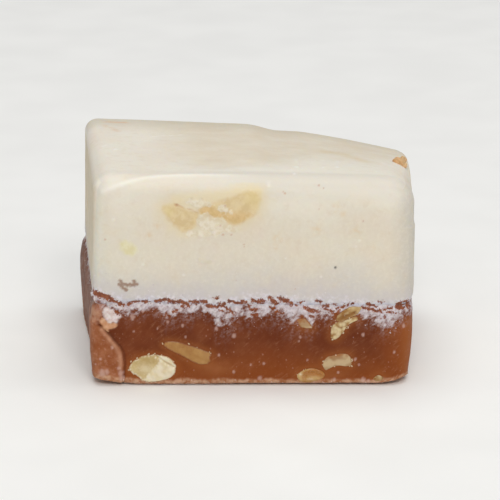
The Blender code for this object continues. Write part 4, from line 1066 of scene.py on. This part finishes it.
def chocolate_material():
    s = Shader("chocolate_fudge")
    s.set("Specular IOR Level", 0.13)
    soft(s, 0.16, (1.0, 0.42, 0.22), 0.6)
    h = s.attr("height_over_crack")
    deep, mid, orange = srgb(106, 48, 20), srgb(118, 58, 28), srgb(142, 73, 27)
    base = s.mix(s.span(s.noise(0.26, 4.0, 0.55), 0.38, 0.62), deep, mid)
    # orange low down, and painted light at the right
    base = s.mix(s.math("MULTIPLY", s.attr("warm_and_right_light"), 0.85), base, orange)
    # painted light: a less red copy of the chocolate on the other sides
    base = s.mix(s.math("MULTIPLY", s.attr("shaded_sides_tint"), 0.55), base, s.mix(s.span(s.noise(0.3, 4.0, 0.6), 0.36, 0.64), srgb(104, 58, 24), srgb(126, 74, 34)))
    # painted light at the right edge
    base = s.mix(s.math("MULTIPLY", s.attr("right_edge_painted_light"), 0.60), base, srgb(164, 96, 48))
    cloudy = s.span(s.noise(0.45, 4.0, 0.6, s.stretch(1.0, 1.0, 0.7)), 0.46, 0.72)
    base = s.mix(s.math("MULTIPLY", cloudy, 0.16), base, srgb(146, 90, 58))
    grain = s.noise(2.2, 4.0, 0.6, s.streak_space(42.0, 0.45, 1.0))
    base = s.mix(s.math("MULTIPLY", s.span(grain, 0.47, 0.8), 0.22), base, srgb(156, 100, 68))
    streaks = s.math("MULTIPLY", s.span(s.noise(1.0, 3.0, 0.6, s.streak_space(40.0, 0.9, 4.2)), 0.54, 0.74), s.span(s.noise(0.35, 2.0, 0.5), 0.40, 0.62))
    base = s.mix(s.math("MULTIPLY", streaks, 0.34), base, srgb(176, 124, 96))
    # painted glow low on the front
    base = s.mix(s.math("MULTIPLY", s.attr("low_painted_glow"), 0.60), base, srgb(166, 104, 62))
    # painted glow in the chocolate round the nuts
    base = s.mix(s.math("MULTIPLY", s.attr("painted_nut_glow"), 0.38), base, srgb(160, 94, 46))
    flap = s.mix(s.span(s.noise(0.7, 4.0, 0.6), 0.35, 0.7), srgb(148, 84, 48), srgb(174, 114, 80))
    flap = s.mix(s.math("MULTIPLY", s.span(s.noise(2.2, 4.0, 0.65), 0.50, 0.74), 0.5), flap, srgb(198, 150, 124))
    base = s.mix(s.math("MULTIPLY", s.attr("flap"), 0.92), base, flap)
    # painted highlight along the flap's lip
    base = s.mix(s.math("MULTIPLY", s.attr("flap_lip_and_highlight"), 0.72), base, srgb(204, 156, 126))
    base = s.mix(s.math("MULTIPLY", s.attr("flap_shadow"), 0.60), base, srgb(92, 40, 18))
    base = s.mix(s.math("MULTIPLY", s.attr("rosy"), 0.72), base, s.mix(s.span(s.noise(1.1, 3.0, 0.55), 0.35, 0.65), srgb(172, 112, 82), srgb(202, 156, 128)))
    # crumbly rim, partly painted light from below
    base = s.mix(s.math("MULTIPLY", s.attr("rim"), 0.85), base, s.mix(s.span(s.noise(1.3, 4.0, 0.6), 0.36, 0.62), srgb(166, 108, 70), srgb(208, 168, 138)))
    # pale specks of sugar and milk all through the chocolate
    base = s.mix(s.math("MULTIPLY", picked(s, 1.25, 0.62, 0.17, 1, s.stretch(1, 1, 0.7), 0.12), 0.40), base, srgb(196, 156, 140))
    base = s.mix(s.math("MULTIPLY", picked(s, 2.7, 0.62, 0.26, 2, s.stretch(1, 1, 0.65), 0.14), 0.26), base, srgb(186, 146, 130))
    base = s.mix(s.math("MULTIPLY", picked(s, 5.2, 0.50, 0.34, 0, s.stretch(1, 1, 0.7), 0.16), 0.14), base, srgb(182, 142, 126))
    base = s.mix(s.math("MULTIPLY", s.attr("dots"), 0.62), base, srgb(206, 172, 160))
    base = s.mix(powder_share(s), base, s.mix(s.span(s.noise(2.6, 3.0, 0.6), 0.34, 0.66), *POWDER))
    base = s.mix(s.attr("peach"), base, s.mix(s.span(s.noise(1.3, 3.0, 0.5), 0.35, 0.65), srgb(196, 140, 100), srgb(214, 168, 134)))
    base = s.mix(s.attr("white_patch"), base, s.mix(s.span(s.noise(1.9, 3.0, 0.5), 0.35, 0.65), srgb(212, 190, 184), srgb(232, 222, 220)))
    base = s.mix(bare_share(s), base, s.mix(s.span(s.noise(2.4, 3.0, 0.6), 0.35, 0.65), *BARE_COLOUR))
    s.color(base)
    s.rough(s.span(s.noise(0.9, 3.0, 0.5), 0.3, 0.7, 0.44, 0.62))
    tiny = s.math("ADD", s.math("MULTIPLY", s.noise(5.0, 4.0, 0.6), 0.6), s.math("MULTIPLY", s.noise(2.0, 3.0, 0.5, s.stretch(1, 1, 0.4)), 0.7))
    s.bump(tiny, 0.00004, 0.8)
    return s.material


# ================================================================ nuts


def surface_at(place, a, z):
    """Points of one upright side at a across and z up, with the layers' slow unevenness, and their normals."""
    a, z = np.asarray(a, float), np.asarray(z, float)
    if place == "front":
        plain = on_front(a, z)
    elif place == "back":
        plain = np.stack([a, np.full_like(a, DEPTH / 2), z], axis=1)
    else:
        plain = np.stack([np.full_like(a, WIDTH / 2 if place == "right" else -WIDTH / 2), a, z], axis=1)
    form, normal = block_form(plain), normals_at(plain, place)
    lift = broad_relief(form[:, 0], form[:, 1], form[:, 2])
    return form + normal * lift[:, None], normal


def nut_mesh(outline, place, relief, depth, proud, margin, cell=0.10):
    """A cut piece of nut: a face over its outline that follows the side of the block, and a rounded body behind.
    relief(a, z, d) is in millimetres, with d the distance in from the outline. The face sinks over the margin."""
    middle = outline.mean(axis=0)
    span = np.ptp(outline, axis=0).max()
    around = max(36, int(span * math.pi / cell * 0.8))
    rings = max(9, int(span / 2 / cell))
    loop = round_outline(outline[:: max(1, len(outline) // 22)], around)
    angle = np.linspace(0, 2 * math.pi, around, endpoint=False)
    ragged = 0.035 * noise(np.cos(angle) * 6, np.sin(angle) * 6, middle[0], 120) + 0.03 * noise(np.cos(angle) * 14, np.sin(angle) * 14, middle[0], 121)
    loop = middle + (loop - middle) * (1 + ragged)[:, None]
    points = [middle + (loop - middle) * (1 - (1 - ring / rings) ** 1.25) for ring in range(1, rings + 1)]
    flat = np.concatenate([[middle]] + points)
    distance = np.clip(in_outline(flat[:, 0], flat[:, 1], loop), 0, 99)
    distance[-around:] = 0
    lift = proud + relief(flat[:, 0], flat[:, 1], distance) * smooth(0, 0.25, distance) - 0.16 * (1 - smooth(0, margin, distance))
    base, normal = surface_at(place, flat[:, 0], flat[:, 1])
    vertices = [base + normal * lift[:, None]]
    body = ((0.02, 0.35), (0.12, 0.65), (0.35, 0.9), (0.7, 1.0))
    for inset, deep in body:
        ring = middle + (loop - middle) * (1 - inset)
        b, n = surface_at(place, ring[:, 0], ring[:, 1])
        vertices.append(b + n * (proud - 0.16 - depth * deep))
    vertices = np.concatenate(vertices)
    faces = [[0, 1 + i, 1 + (i + 1) % around] for i in range(around)]
    for ring in range(rings + len(body) - 1):
        a0, b0 = 1 + ring * around, 1 + (ring + 1) * around
        for i in range(around):
            j = (i + 1) % around
            faces.append([a0 + i, b0 + i, b0 + j, a0 + j])
    last = 1 + (rings + len(body) - 1) * around
    faces.append([last + i for i in range(around)])
    e1, e2 = vertices[1] - vertices[0], vertices[1 + around // 4] - vertices[0]
    if np.dot(np.cross(e1, e2), normal[0]) < 0:
        faces = [f[::-1] for f in faces]
    extra = around * len(body)
    inside = np.concatenate([distance, np.zeros(extra)])
    across = np.concatenate([flat[:, 0], np.tile(loop[:, 0], len(body))])
    up = np.concatenate([flat[:, 1], np.tile(loop[:, 1], len(body))])
    return vertices, faces, inside, across, up


def nut_material(name, body, pale, deep, around, roughness=0.45, clear=0.25, specular=0.35, grainy=1.0):
    """around is the colour of the fudge that the nut fades into where its sink attribute is 1."""
    s = Shader(name)
    s.set("Specular IOR Level", specular)
    soft(s, clear, (1.0, 0.7, 0.35), 0.8)
    base = s.mix(s.span(s.noise(0.8, 4.0, 0.55), 0.38, 0.64), deep, body)
    base = s.mix(s.attr("pale"), base, pale)
    fine = s.noise(3.6, 4.0, 0.65)
    base = s.mix(s.math("MULTIPLY", s.span(fine, 0.5, 0.78), 0.45 * grainy), base, pale)
    base = s.mix(s.math("MULTIPLY", s.span(fine, 0.46, 0.24), 0.35 * grainy), base, deep)
    base = s.mix(s.math("MULTIPLY", s.attr("shade"), 0.85), base, deep)
    base = s.mix(s.math("MULTIPLY", s.attr("bright"), 0.85), base, srgb(240, 230, 208))
    sink = s.math("ADD", s.attr("sink"), s.math("MULTIPLY", s.math("SUBTRACT", s.noise(2.6, 4.0, 0.7), 0.5), 1.2))
    base = s.mix(s.span(sink, 0.15, 0.95), base, around)
    s.color(base)
    s.rough(s.span(s.noise(2.0, 3.0, 0.5), 0.3, 0.7, roughness - 0.08, roughness + 0.12))
    s.bump(s.math("ADD", s.math("MULTIPLY", s.noise(7.0, 4.0, 0.6), 0.5), s.math("MULTIPLY", s.noise(2.5, 3.0, 0.6), 0.6)), 0.00005, 0.8)
    return s.material


def add_nut(name, place, outline, relief, material, masks=None, proud=0.02, depth=0.9, margin=0.12, fade=0.15):
    vertices, faces, inside, across, up = nut_mesh(outline, place, relief, depth, proud, margin)
    zero = np.zeros(len(vertices))
    marks = {"sink": 1 - smooth(0.0, fade, inside), "pale": zero, "shade": zero, "bright": zero}
    for key, values in (masks(across, up, inside) if masks else {}).items():
        marks[key] = np.clip(np.maximum(marks["sink"], values), 0, 1) if key == "sink" else np.clip(values, 0, 1)
    made = make_mesh(name, vertices, faces, marks)
    made.data.materials.append(material)
    pieces.append(made)
    return made


# ================================================================ scattered grains

ICO_T = (1 + 5**0.5) / 2
ICO_V = np.array([(-1, ICO_T, 0), (1, ICO_T, 0), (-1, -ICO_T, 0), (1, -ICO_T, 0), (0, -1, ICO_T), (0, 1, ICO_T),
                  (0, -1, -ICO_T), (0, 1, -ICO_T), (ICO_T, 0, -1), (ICO_T, 0, 1), (-ICO_T, 0, -1), (-ICO_T, 0, 1)])
ICO_V = ICO_V / np.linalg.norm(ICO_V[0])
ICO_F = [(0, 11, 5), (0, 5, 1), (0, 1, 7), (0, 7, 10), (0, 10, 11), (1, 5, 9), (5, 11, 4), (11, 10, 2), (10, 7, 6), (7, 1, 8),
         (3, 9, 4), (3, 4, 2), (3, 2, 6), (3, 6, 8), (3, 8, 9), (4, 9, 5), (2, 4, 11), (6, 2, 10), (8, 6, 7), (9, 8, 1)]


def finer(vertices, faces):
    """Each triangle of a ball as four."""
    vertices, seen, out = list(map(tuple, vertices)), {}, []

    def middle(a, b):
        key = (min(a, b), max(a, b))
        if key not in seen:
            m = np.array(vertices[a]) + np.array(vertices[b])
            vertices.append(tuple(m / np.linalg.norm(m)))
            seen[key] = len(vertices) - 1
        return seen[key]

    for a, b, c in faces:
        ab, bc, ca = middle(a, b), middle(b, c), middle(c, a)
        out += [(a, ab, ca), (b, bc, ab), (c, ca, bc), (ab, bc, ca)]
    return np.array(vertices), out


ICO2_V, ICO2_F = finer(ICO_V, ICO_F)
ICO3_V, ICO3_F = finer(ICO2_V, ICO2_F)


def grains(name, centres, normals, sizes, flat, seed, material, ball=(ICO_V, ICO_F), rough=0.28):
    """Uneven grains as one mesh: each sits at its centre, flattened along its normal."""
    rng = np.random.default_rng(seed)
    ball, ball_faces = ball
    count = len(centres)
    n = normals / np.linalg.norm(normals, axis=1, keepdims=True)
    t = np.cross(n, rng.normal(size=(count, 3)))
    t /= np.linalg.norm(t, axis=1, keepdims=True)
    b = np.cross(n, t)
    stretch = rng.uniform(0.7, 1.4, count)[:, None, None]
    k = np.arange(count)[:, None]
    wave = 1 + rough * noise(ball[None, :, 0] * 1.6 + k * 3.1, ball[None, :, 1] * 1.6, ball[None, :, 2] * 1.6 + k * 1.7, seed)
    shape = ball[None] * wave[:, :, None]
    size = np.asarray(sizes)[:, None, None]
    local = shape[:, :, :1] * t[:, None] * size * stretch + shape[:, :, 1:2] * b[:, None] * size / stretch + shape[:, :, 2:3] * n[:, None] * size * flat
    vertices = (centres[:, None] + local).reshape(-1, 3)
    faces = (np.array(ball_faces)[None] + (np.arange(count) * len(ball))[:, None, None]).reshape(-1, 3).tolist()
    tone = np.repeat(rng.uniform(0, 1, count), len(ball))
    vertices[:, 2] = np.maximum(vertices[:, 2], 0.0)
    made = make_mesh(name, vertices, faces, {"tone": tone})
    made.data.materials.append(material)
    pieces.append(made)
    return made


def grain_material(name, a, b, roughness=0.6, clear=0.2):
    s = Shader(name)
    s.set("Specular IOR Level", 0.3)
    soft(s, clear, (1.0, 0.7, 0.45), 0.4)
    base = s.mix(s.attr("tone"), a, b)
    base = s.mix(s.math("MULTIPLY", s.span(s.noise(5.0, 3.0, 0.6), 0.4, 0.7), 0.3), base, b)
    s.color(base)
    s.rough(s.span(s.noise(3.0, 2.0, 0.5), 0.3, 0.7, roughness - 0.1, roughness + 0.1))
    s.bump(s.noise(9.0, 3.0, 0.6), 0.00003, 0.6)
    return s.material


def around_block(rng, count):
    """Places spread along the four upright sides: side and place along it."""
    lengths = {"front": WIDTH, "right": DEPTH, "back": WIDTH, "left": DEPTH}
    names = np.array(list(lengths))
    share = np.array([1.6 * lengths["front"], lengths["right"], lengths["back"], lengths["left"]])
    side = names[rng.choice(4, count, p=share / share.sum())]
    along = np.array([rng.uniform(-lengths[p] / 2 + 0.4, lengths[p] / 2 - 0.4) for p in side])
    return side, along


def stand_on(side, along, z, sunk):
    """Points on the upright sides, and their normals."""
    points, normals = np.zeros((len(side), 3)), np.zeros((len(side), 3))
    for place in ("front", "right", "back", "left"):
        rows = side == place
        if rows.any():
            p, n = surface_at(place, along[rows], z[rows])
            points[rows], normals[rows] = p - n * sunk[rows][:, None], n
    return points, normals


# ================================================================ camera, light and floor


def aim(made, target):
    direction = Vector(target) - made.location
    made.rotation_mode = "QUATERNION"
    made.rotation_quaternion = direction.to_track_quat("-Z", "Y")


ELEVATION, DISTANCE, FOCAL_PIXELS = 17.0, 280.0, 2360.0
TARGET = np.array([0.0, 0.0, 11.75]) - CENTRE * np.array([1, 1, 0])


def studio():
    scene = bpy.context.scene
    camera_data = bpy.data.cameras.new("camera")
    camera = bpy.data.objects.new("camera", camera_data)
    scene.collection.objects.link(camera)
    e = math.radians(ELEVATION)
    place = TARGET + np.array([0, -math.cos(e), math.sin(e)]) * DISTANCE
    camera.location = Vector(place * MM)
    aim(camera, Vector(TARGET * MM))
    camera_data.sensor_width = 36.0
    camera_data.lens = 36.0 * FOCAL_PIXELS / 500.0
    camera_data.clip_start, camera_data.clip_end = 0.01, 20.0
    scene.camera = camera

    def area(name, location_mm, size_mm, watts, colour=(1, 1, 1)):
        data = bpy.data.lights.new(name, "AREA")
        data.shape = "RECTANGLE"
        data.size, data.size_y = size_mm[0] * MM, size_mm[1] * MM
        data.energy = watts
        data.color = colour
        made = bpy.data.objects.new(name, data)
        scene.collection.objects.link(made)
        made.location = Vector(location_mm) * MM
        aim(made, Vector((0, 0, 0.012)))
        return made

    area("key", (120, -1050, 900), (620, 420), 7.9, (1.0, 0.985, 0.96))
    area("overhead", (60, 60, 1500), (1200, 1200), 10.6, (1.0, 0.99, 0.97))

    world = bpy.data.worlds.new("studio")
    world.use_nodes = True
    background = next(n for n in world.node_tree.nodes if n.type == "BACKGROUND")
    background.inputs["Color"].default_value = (0.95, 0.96, 0.98, 1.0)
    background.inputs["Strength"].default_value = 0.31
    scene.world = world

    size = 3.0
    floor_mesh = bpy.data.meshes.new("floor")
    floor_mesh.from_pydata([(-size, -size, 0), (size, -size, 0), (size, size, 0), (-size, size, 0)], [], [(0, 1, 2, 3)])
    floor = bpy.data.objects.new("floor", floor_mesh)
    floor.location.z = -0.00002
    scene.collection.objects.link(floor)
    s = Shader("pale_floor")
    s.set("Specular IOR Level", 0.2)
    s.color(s.mix(s.span(s.noise(0.05, 2.0, 0.5), 0.3, 0.7), srgb(246, 246, 244), srgb(249, 249, 247)))
    s.rough(s.span(s.noise(0.1, 2.0, 0.5), 0.3, 0.7, 0.6, 0.7))
    floor_mesh.materials.append(s.material)
    scene.view_settings.view_transform = "Standard"
    scene.view_settings.look = "None"
    scene.view_settings.exposure = 0.0
    scene.view_settings.gamma = 1.0


# ================================================================ build

studio()

pieces = []

SEAM_KEPT = ["height_over_crack", "bare", "under"]
VANILLA_KEPT = SEAM_KEPT + ["smear", "veil", "painted_glow", "lemon", "beige", "left_edge_shade", "left_side_tan_and_shade", "right_edge_shade", "lobe", "lobe_tan", "lobe_yellow", "lobe_line", "red", "white", "dark", "orange", "smudge", "top_tan",
                            "back_edge_shade", "top_stain", "top_orange", "scrape", "crest_and_highlight", "drift", "edge_band_shade", "top_front_painted_light"]
CHOCOLATE_KEPT = SEAM_KEPT + ["flap", "flap_lip_and_highlight", "flap_shadow", "white_patch", "peach", "rosy", "rim", "warm_and_right_light", "shaded_sides_tint", "right_edge_painted_light", "low_painted_glow", "painted_nut_glow", "dots"]

vanilla = layer("vanilla_fudge_layer", ZS_VANILLA, False, True, VANILLA_KEPT)
vanilla.data.materials.append(vanilla_material())
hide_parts("vanilla_layer", "nut_lemon_chip", "peanut_left_lobe", "peanut_right_lobe")
pieces.append(vanilla)

chocolate = layer("chocolate_fudge_layer", ZS_CHOCOLATE, True, True, CHOCOLATE_KEPT)
chocolate.data.materials.append(chocolate_material())
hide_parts("chocolate_layer")
pieces.append(chocolate)

BROWN, CREAM = srgb(146, 82, 44), srgb(226, 212, 180)
pale_nut = nut_material("pale_nut", srgb(204, 180, 126), srgb(232, 218, 182), srgb(186, 158, 102), srgb(176, 120, 68), 0.48, 0.25)
tan_nut = nut_material("tan_nut", srgb(180, 136, 76), srgb(196, 156, 98), srgb(166, 116, 60), BROWN, 0.40, 0.35, grainy=0.35)
golden_nut = nut_material("golden_nut", srgb(188, 154, 102), srgb(214, 194, 152), srgb(148, 100, 42), srgb(146, 88, 46), 0.45, 0.25)
block_nut = nut_material("block_nut", srgb(178, 145, 106), srgb(200, 175, 136), srgb(164, 124, 82), srgb(164, 106, 58), 0.5, 0.25, grainy=0.7)
amber_nut = nut_material("amber_nut", srgb(184, 140, 78), srgb(206, 174, 116), srgb(172, 112, 42), srgb(156, 94, 48), 0.26, 0.35, 0.6, grainy=0.3)
peanut = nut_material("peanut", srgb(224, 198, 142), srgb(229, 209, 156), srgb(212, 176, 118), CREAM, 0.46, 0.4, grainy=0.35)


def gentle(x, z, d):
    return 0.04 * smooth(0, 1.1, d) + 0.03 * fbm(x * 1.4, 0.3, z * 1.4, 130, 3)


HALF_DIVIDE = [(-12.42, 0.5), (-11.31, 1.73), (-10.62, 2.46), (-10.34, 3.18), (-10.26, 3.9)]
HALF_SPLIT = [(-10.61, 3.59), (-9.65, 2.89), (-8.7, 2.28)]
HALF_RIM = [(-13.85, 2.31), (-13.72, 1.73), (-13.24, 1.36), (-12.7, 0.92), (-12.43, 0.63)]


def right_half(x, z):
    """1 on the right, crumbly part of the large half nut; 0 on its smooth left part."""
    divide_x = np.interp(z, [p[1] for p in HALF_DIVIDE], [p[0] for p in HALF_DIVIDE])
    return smooth(-0.22, 0.26, x - divide_x + 0.30 * noise(x * 1.6, 0, z * 1.6, 132) + 0.20 * noise(x * 4, 0, z * 4, 144))


def half_relief(x, z, d):
    hollow = 0.14 * np.exp(-(((x + 12.0) / 1.2) ** 2 + ((z - 2.2) / 0.9) ** 2))
    rim = np.exp(-((to_line(x, z, HALF_RIM) / 0.3) ** 2))
    return 0.05 * smooth(0, 0.5, d) - hollow + right_half(x, z) * (0.03 + 0.10 * lumps(x, z, 0.5, 131)) \
        - 0.20 * np.exp(-((to_line(x, z, HALF_SPLIT) / 0.10) ** 2)) + 0.12 * rim * lumps(x, z, 0.3, 134)


def half_masks(x, z, d):
    right = right_half(x, z)
    split = to_line(x, z, HALF_SPLIT)
    rim = np.exp(-((to_line(x, z, HALF_RIM) / 0.22) ** 2)) * smooth(-0.35, 0.15, noise(x * 4, 0, z * 4, 135))
    beads = np.exp(-(((split - 0.22) / 0.12) ** 2)) * smooth(-0.1, 0.3, noise(x * 3.5, 0, z * 3.5, 136))
    cream = right * smooth(-0.5, 0.3, noise(x * 1.3, 0, z * 1.3, 137)) * 0.75
    edge = 0.9 * np.exp(-(((d - 0.16) / 0.13) ** 2)) * smooth(-0.1, 0.35, noise(x * 3.8, 0, z * 3.8, 145))
    rim = np.maximum(rim, edge)
    # the pale spot in the smooth left part is a painted highlight
    return {"pale": right * (0.85 + 0.3 * noise(x * 0.9, 0, z * 0.9, 137)) + 0.70 * (1 - right) * np.exp(-(((x + 11.9) / 0.9) ** 2 + ((z - 2.0) / 0.6) ** 2)),
            "shade": 0.60 * np.exp(-((split / 0.10) ** 2)) + 0.30 * (1 - right) * smooth(2.2, 3.3, z), "bright": np.maximum(np.maximum(rim, beads), cream)}


def crumbly(x, z, d):
    return 0.03 * smooth(0, 0.4, d) + 0.15 * lumps(x, z, 0.55, 133) + 0.05 * lumps(x, z, 0.3, 134) - 0.06


def crumbly_masks(x, z, d):
    lump = lumps(x, z, 0.55, 133)
    return {"pale": smooth(0.1, 0.75, lump + 0.25 * noise(x * 2, 0, z * 2, 138)), "shade": 0.55 * smooth(0.36, 0.05, lump + 0.10 * noise(x * 3, 0, z * 3, 148))}


def plain_cut(x, z, d):
    return 0.04 * smooth(0, 0.7, d) + 0.05 * lumps(x, z, 1.1, 149) + 0.04 * fbm(x * 1.4, 0.3, z * 1.4, 150, 3)


def plain_masks(x, z, d):
    return {"pale": smooth(-0.25, 0.55, noise(x * 0.8, 0, z * 0.8, 151) + 0.3 * noise(x * 2.1, 0, z * 2.1, 152)), "shade": 0.25 * smooth(0.2, 0.6, noise(x * 1.1, 0, z * 1.1, 153))}


def block_masks(x, z, d):
    top = smooth(-0.15, 0.75, (z - 3.15) - 0.10 * (x - 9.9) + 0.30 * noise(x * 1.5, 0, z * 1.5, 139))
    return {"pale": smooth(-0.2, 0.5, noise(x * 1.3, 0, z * 1.3, 140) + 0.3), "sink": 0.85 * top}


def chip_masks(x, z, d):
    corner = smooth(0.0, 1.2, (z - 7.35) - (x - 6.3) * 0.7 + 0.2 * noise(x * 2, 0, z * 2, 141))
    return {"pale": smooth(7.3, 6.8, z), "sink": 0.9 * corner, "bright": np.exp(-(((x - 6.95) / 0.25) ** 2 + ((z - 6.95) / 0.15) ** 2))}


SKIN_HOLLOW = [(10.0, 7.95), (10.5, 8.16), (11.1, 8.38), (11.8, 8.75)]


def skin_relief(x, z, d):
    return 0.10 * smooth(0, 0.3, d) - 0.22 * np.exp(-((to_line(x, z, SKIN_HOLLOW) / 0.22) ** 2)) + 0.05 * lumps(x, z, 0.4, 135)


def skin_masks(x, z, d):
    hollow = np.exp(-((to_line(x, z, SKIN_HOLLOW) / 0.24) ** 2))
    return {"pale": 0.5 * smooth(0.2, 0.8, lumps(x, z, 0.5, 135)) * (1 - hollow), "shade": hollow}


def amber_arc(x, z):
    """The glossy brown arc over the amber piece's paler middle."""
    ring = np.hypot((x - 7.25) / 1.1, (z - 1.0) / 0.72)
    return np.exp(-(((ring - 0.85) / 0.24) ** 2)) * smooth(0.85, 1.25, z)


def amber_relief(x, z, d):
    return 0.05 * smooth(0, 0.3, d) - 0.08 * amber_arc(x, z) + 0.07 * lumps(x, z, 0.5, 136)


def amber_masks(x, z, d):
    left = smooth(6.35, 5.6, x)
    middle = np.exp(-(((x - 7.2) / 0.95) ** 2 + ((z - 0.95) / 0.28) ** 2))
    # painted highlights on the amber piece
    painted_gloss_highlight = np.exp(-(((x - 5.75) / 0.14) ** 2 + ((z - 1.4) / 0.16) ** 2)) + 0.6 * np.exp(-(((x - 6.9) / 0.35) ** 2 + ((z - 0.82) / 0.10) ** 2))
    return {"pale": np.maximum(0.75 * middle, 0.85 * left), "shade": 0.8 * amber_arc(x, z) * (1 - left), "bright": painted_gloss_highlight * 0.7}


def sliver_masks(x, z, d):
    top = np.exp(-(((d - 0.08) / 0.10) ** 2)) * ((z - 4.1) + (x + 7.0) * 0.36 > 0.1) * smooth(-0.2, 0.25, noise(x * 3.1, 0, z * 3.1, 137))
    left = smooth(-7.4, -9.8, x) * 0.16 + 0.16 * smooth(-4.6, -6.4, x)
    return {"pale": 0.35 * smooth(-6.6, -5.2, x), "shade": 0.6 * smooth(0.4, 0.0, np.abs((z - 3.9) + (x + 7.0) * 0.42)) * smooth(-8, -6, x),
            "sink": left, "bright": 0.6 * top}


for name, shape, relief, material, masks, proud, margin, fade, slot, node in (
    ("nut_pale_half_cut", "nut_pale_half", half_relief, pale_nut, half_masks, 0.02, 0.12, 0.30, "pale_nut", "nut_pale_half"),
    ("nut_tan_sliver_cut", "nut_tan_sliver", gentle, tan_nut, sliver_masks, 0.02, 0.12, 0.40, "tan_nut", "nut_tan_sliver"),
    ("nut_pale_chip_cut", "nut_pale_chip", gentle, block_nut, chip_masks, 0.02, 0.15, 0.42, "pale_nut", "nut_pale_chip"),
    ("nut_golden_skin_cut", "nut_golden_skin", skin_relief, golden_nut, skin_masks, 0.02, 0.12, 0.24, "golden_nut", "nut_golden_piece"),
    ("nut_golden_crumb_cut", "nut_golden_crumb", crumbly, golden_nut, crumbly_masks, 0.04, 0.12, 0.22, "golden_nut", None),
    ("nut_tan_block_cut", "nut_tan_block", gentle, block_nut, block_masks, 0.02, 0.15, 0.30, "golden_nut", "nut_tan_block"),
    ("nut_amber_piece_cut", "nut_amber_piece", amber_relief, amber_nut, amber_masks, 0.03, 0.12, 0.12, "tan_nut", "nut_amber_piece"),
    ("nut_low_chip_cut", "nut_low_chip", gentle, golden_nut, plain_masks, 0.03, 0.15, 0.12, "golden_nut", "nut_low_chip"),
):
    made = add_nut(name, "front", SHAPES[shape], relief, material, masks, proud, 0.9, margin, fade)
    if node:
        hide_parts(node)

KINDS = {"pale": (pale_nut, plain_cut, plain_masks, 0.12, 0.25, "pale_nut"), "tan": (tan_nut, gentle, None, 0.12, 0.3, "tan_nut"),
         "amber": (amber_nut, gentle, None, 0.12, 0.2, "tan_nut"), "veiled": (peanut, gentle, None, 0.45, 0.8, "pale_nut")}
for i, (nut, outline) in enumerate(zip(OTHER_NUTS, OTHER_OUTLINES)):
    material, relief, masks, margin, fade, slot = KINDS[nut[6]]
    add_nut("nut_%s_%02d" % (nut[0], i + 1), nut[0], outline, relief, material, masks, 0.02, 0.9, margin, fade)

# a crumb of roasted nut on the edge of the top
crumb_material = grain_material("roasted_crumb", srgb(206, 158, 108), srgb(224, 186, 142), 0.5, 0.3)
low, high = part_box("nut_corner_crumb")
crumb_middle = (np.array(low) + np.array(high)) / 2 / MM + CENTRE
crumb_parts = np.array([(-0.66, -0.25, -0.10), (-0.28, -0.2, 0.02), (0.10, 0.0, 0.12), (0.12, -0.15, -0.30), (-0.30, -0.35, -0.44), (0.06, -0.05, 0.34)])
made = grains("roasted_nut_crumb", crumb_middle + crumb_parts, np.tile([0.5, -0.3, 0.8], (6, 1)), np.array([0.52, 0.50, 0.48, 0.46, 0.42, 0.28]), 0.85, 7,
              crumb_material, (ICO3_V, ICO3_F), 0.22)
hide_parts("nut_corner_crumb")

# crumbs: powder along the crack, broken chocolate along the foot, and nut dust round the cut nuts
rng = np.random.default_rng(20)
side, along = around_block(rng, 1700)
where = np.where(side == "front", np.interp(along, CRACK_X, CRACK_Z), SEAM + 0.3)
z = where - rng.exponential(0.55, len(side)) * np.where(side == "front", np.interp(along, POWDER_X, POWDER_DEEP), 1.1) + rng.normal(0.1, 0.15, len(side))
z = np.where(rng.uniform(size=len(side)) < 0.10, where + rng.exponential(0.5, len(side)), z)
clear = np.where(side == "front", bare_on_front(along, z) < -0.12, np.abs(z - where) > 0.25)
side, along, z = side[clear], along[clear], z[clear]
size = rng.uniform(0.03, 0.08, len(side))
points, normals = stand_on(side, along, np.clip(z, 4.5, 14.0), size * 0.15)
made = grains("sugar_powder", points, normals, size, 0.6, 21, grain_material("sugar_powder", srgb(192, 180, 184), srgb(216, 208, 211), 0.75, 0.2))

side, along = around_block(rng, 900)
z = np.abs(rng.normal(0.0, 0.22, len(side))) + 0.06
size = rng.uniform(0.05, 0.13, len(side))
points, normals = stand_on(side, along, z, size * 0.2)
made = grains("foot_crumbs", points, normals, size, 0.8, 22, grain_material("foot_crumbs", srgb(176, 116, 84), srgb(222, 190, 172), 0.65, 0.2))

spots = []
for name, count in (("nut_pale_half", 60), ("nut_tan_sliver", 14), ("nut_golden_crumb", 10), ("nut_golden_skin", 4), ("nut_tan_block", 8), ("nut_amber_piece", 5)):
    outline = SHAPES[name]
    pick = rng.integers(0, len(outline), count)
    low_left = name == "nut_pale_half"
    for k in pick:
        if low_left and outline[k][0] > -11.5 and rng.uniform() < 0.6:
            continue
        if name == "nut_tan_sliver" and (outline[k][1] - 3.9) + (outline[k][0] + 7.0) * 0.36 < 0:
            continue
        inward = outline.mean(axis=0) - outline[k]
        spots.append(outline[k] + inward / np.hypot(*inward) * rng.uniform(0.0, 0.22) + rng.normal(0, 0.05, 2))
spots = np.array(spots)
side = np.full(len(spots), "front")
size = rng.uniform(0.05, 0.12, len(spots))
points, normals = stand_on(side, spots[:, 0], np.clip(spots[:, 1], 0.15, 99), size * 0.1)
made = grains("nut_crumbs", points, normals, size, 0.7, 23, grain_material("nut_crumbs", srgb(202, 174, 134), srgb(222, 204, 174), 0.7, 0.2))

for made in pieces:
    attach(made, "root")

bpy.context.view_layer.update()
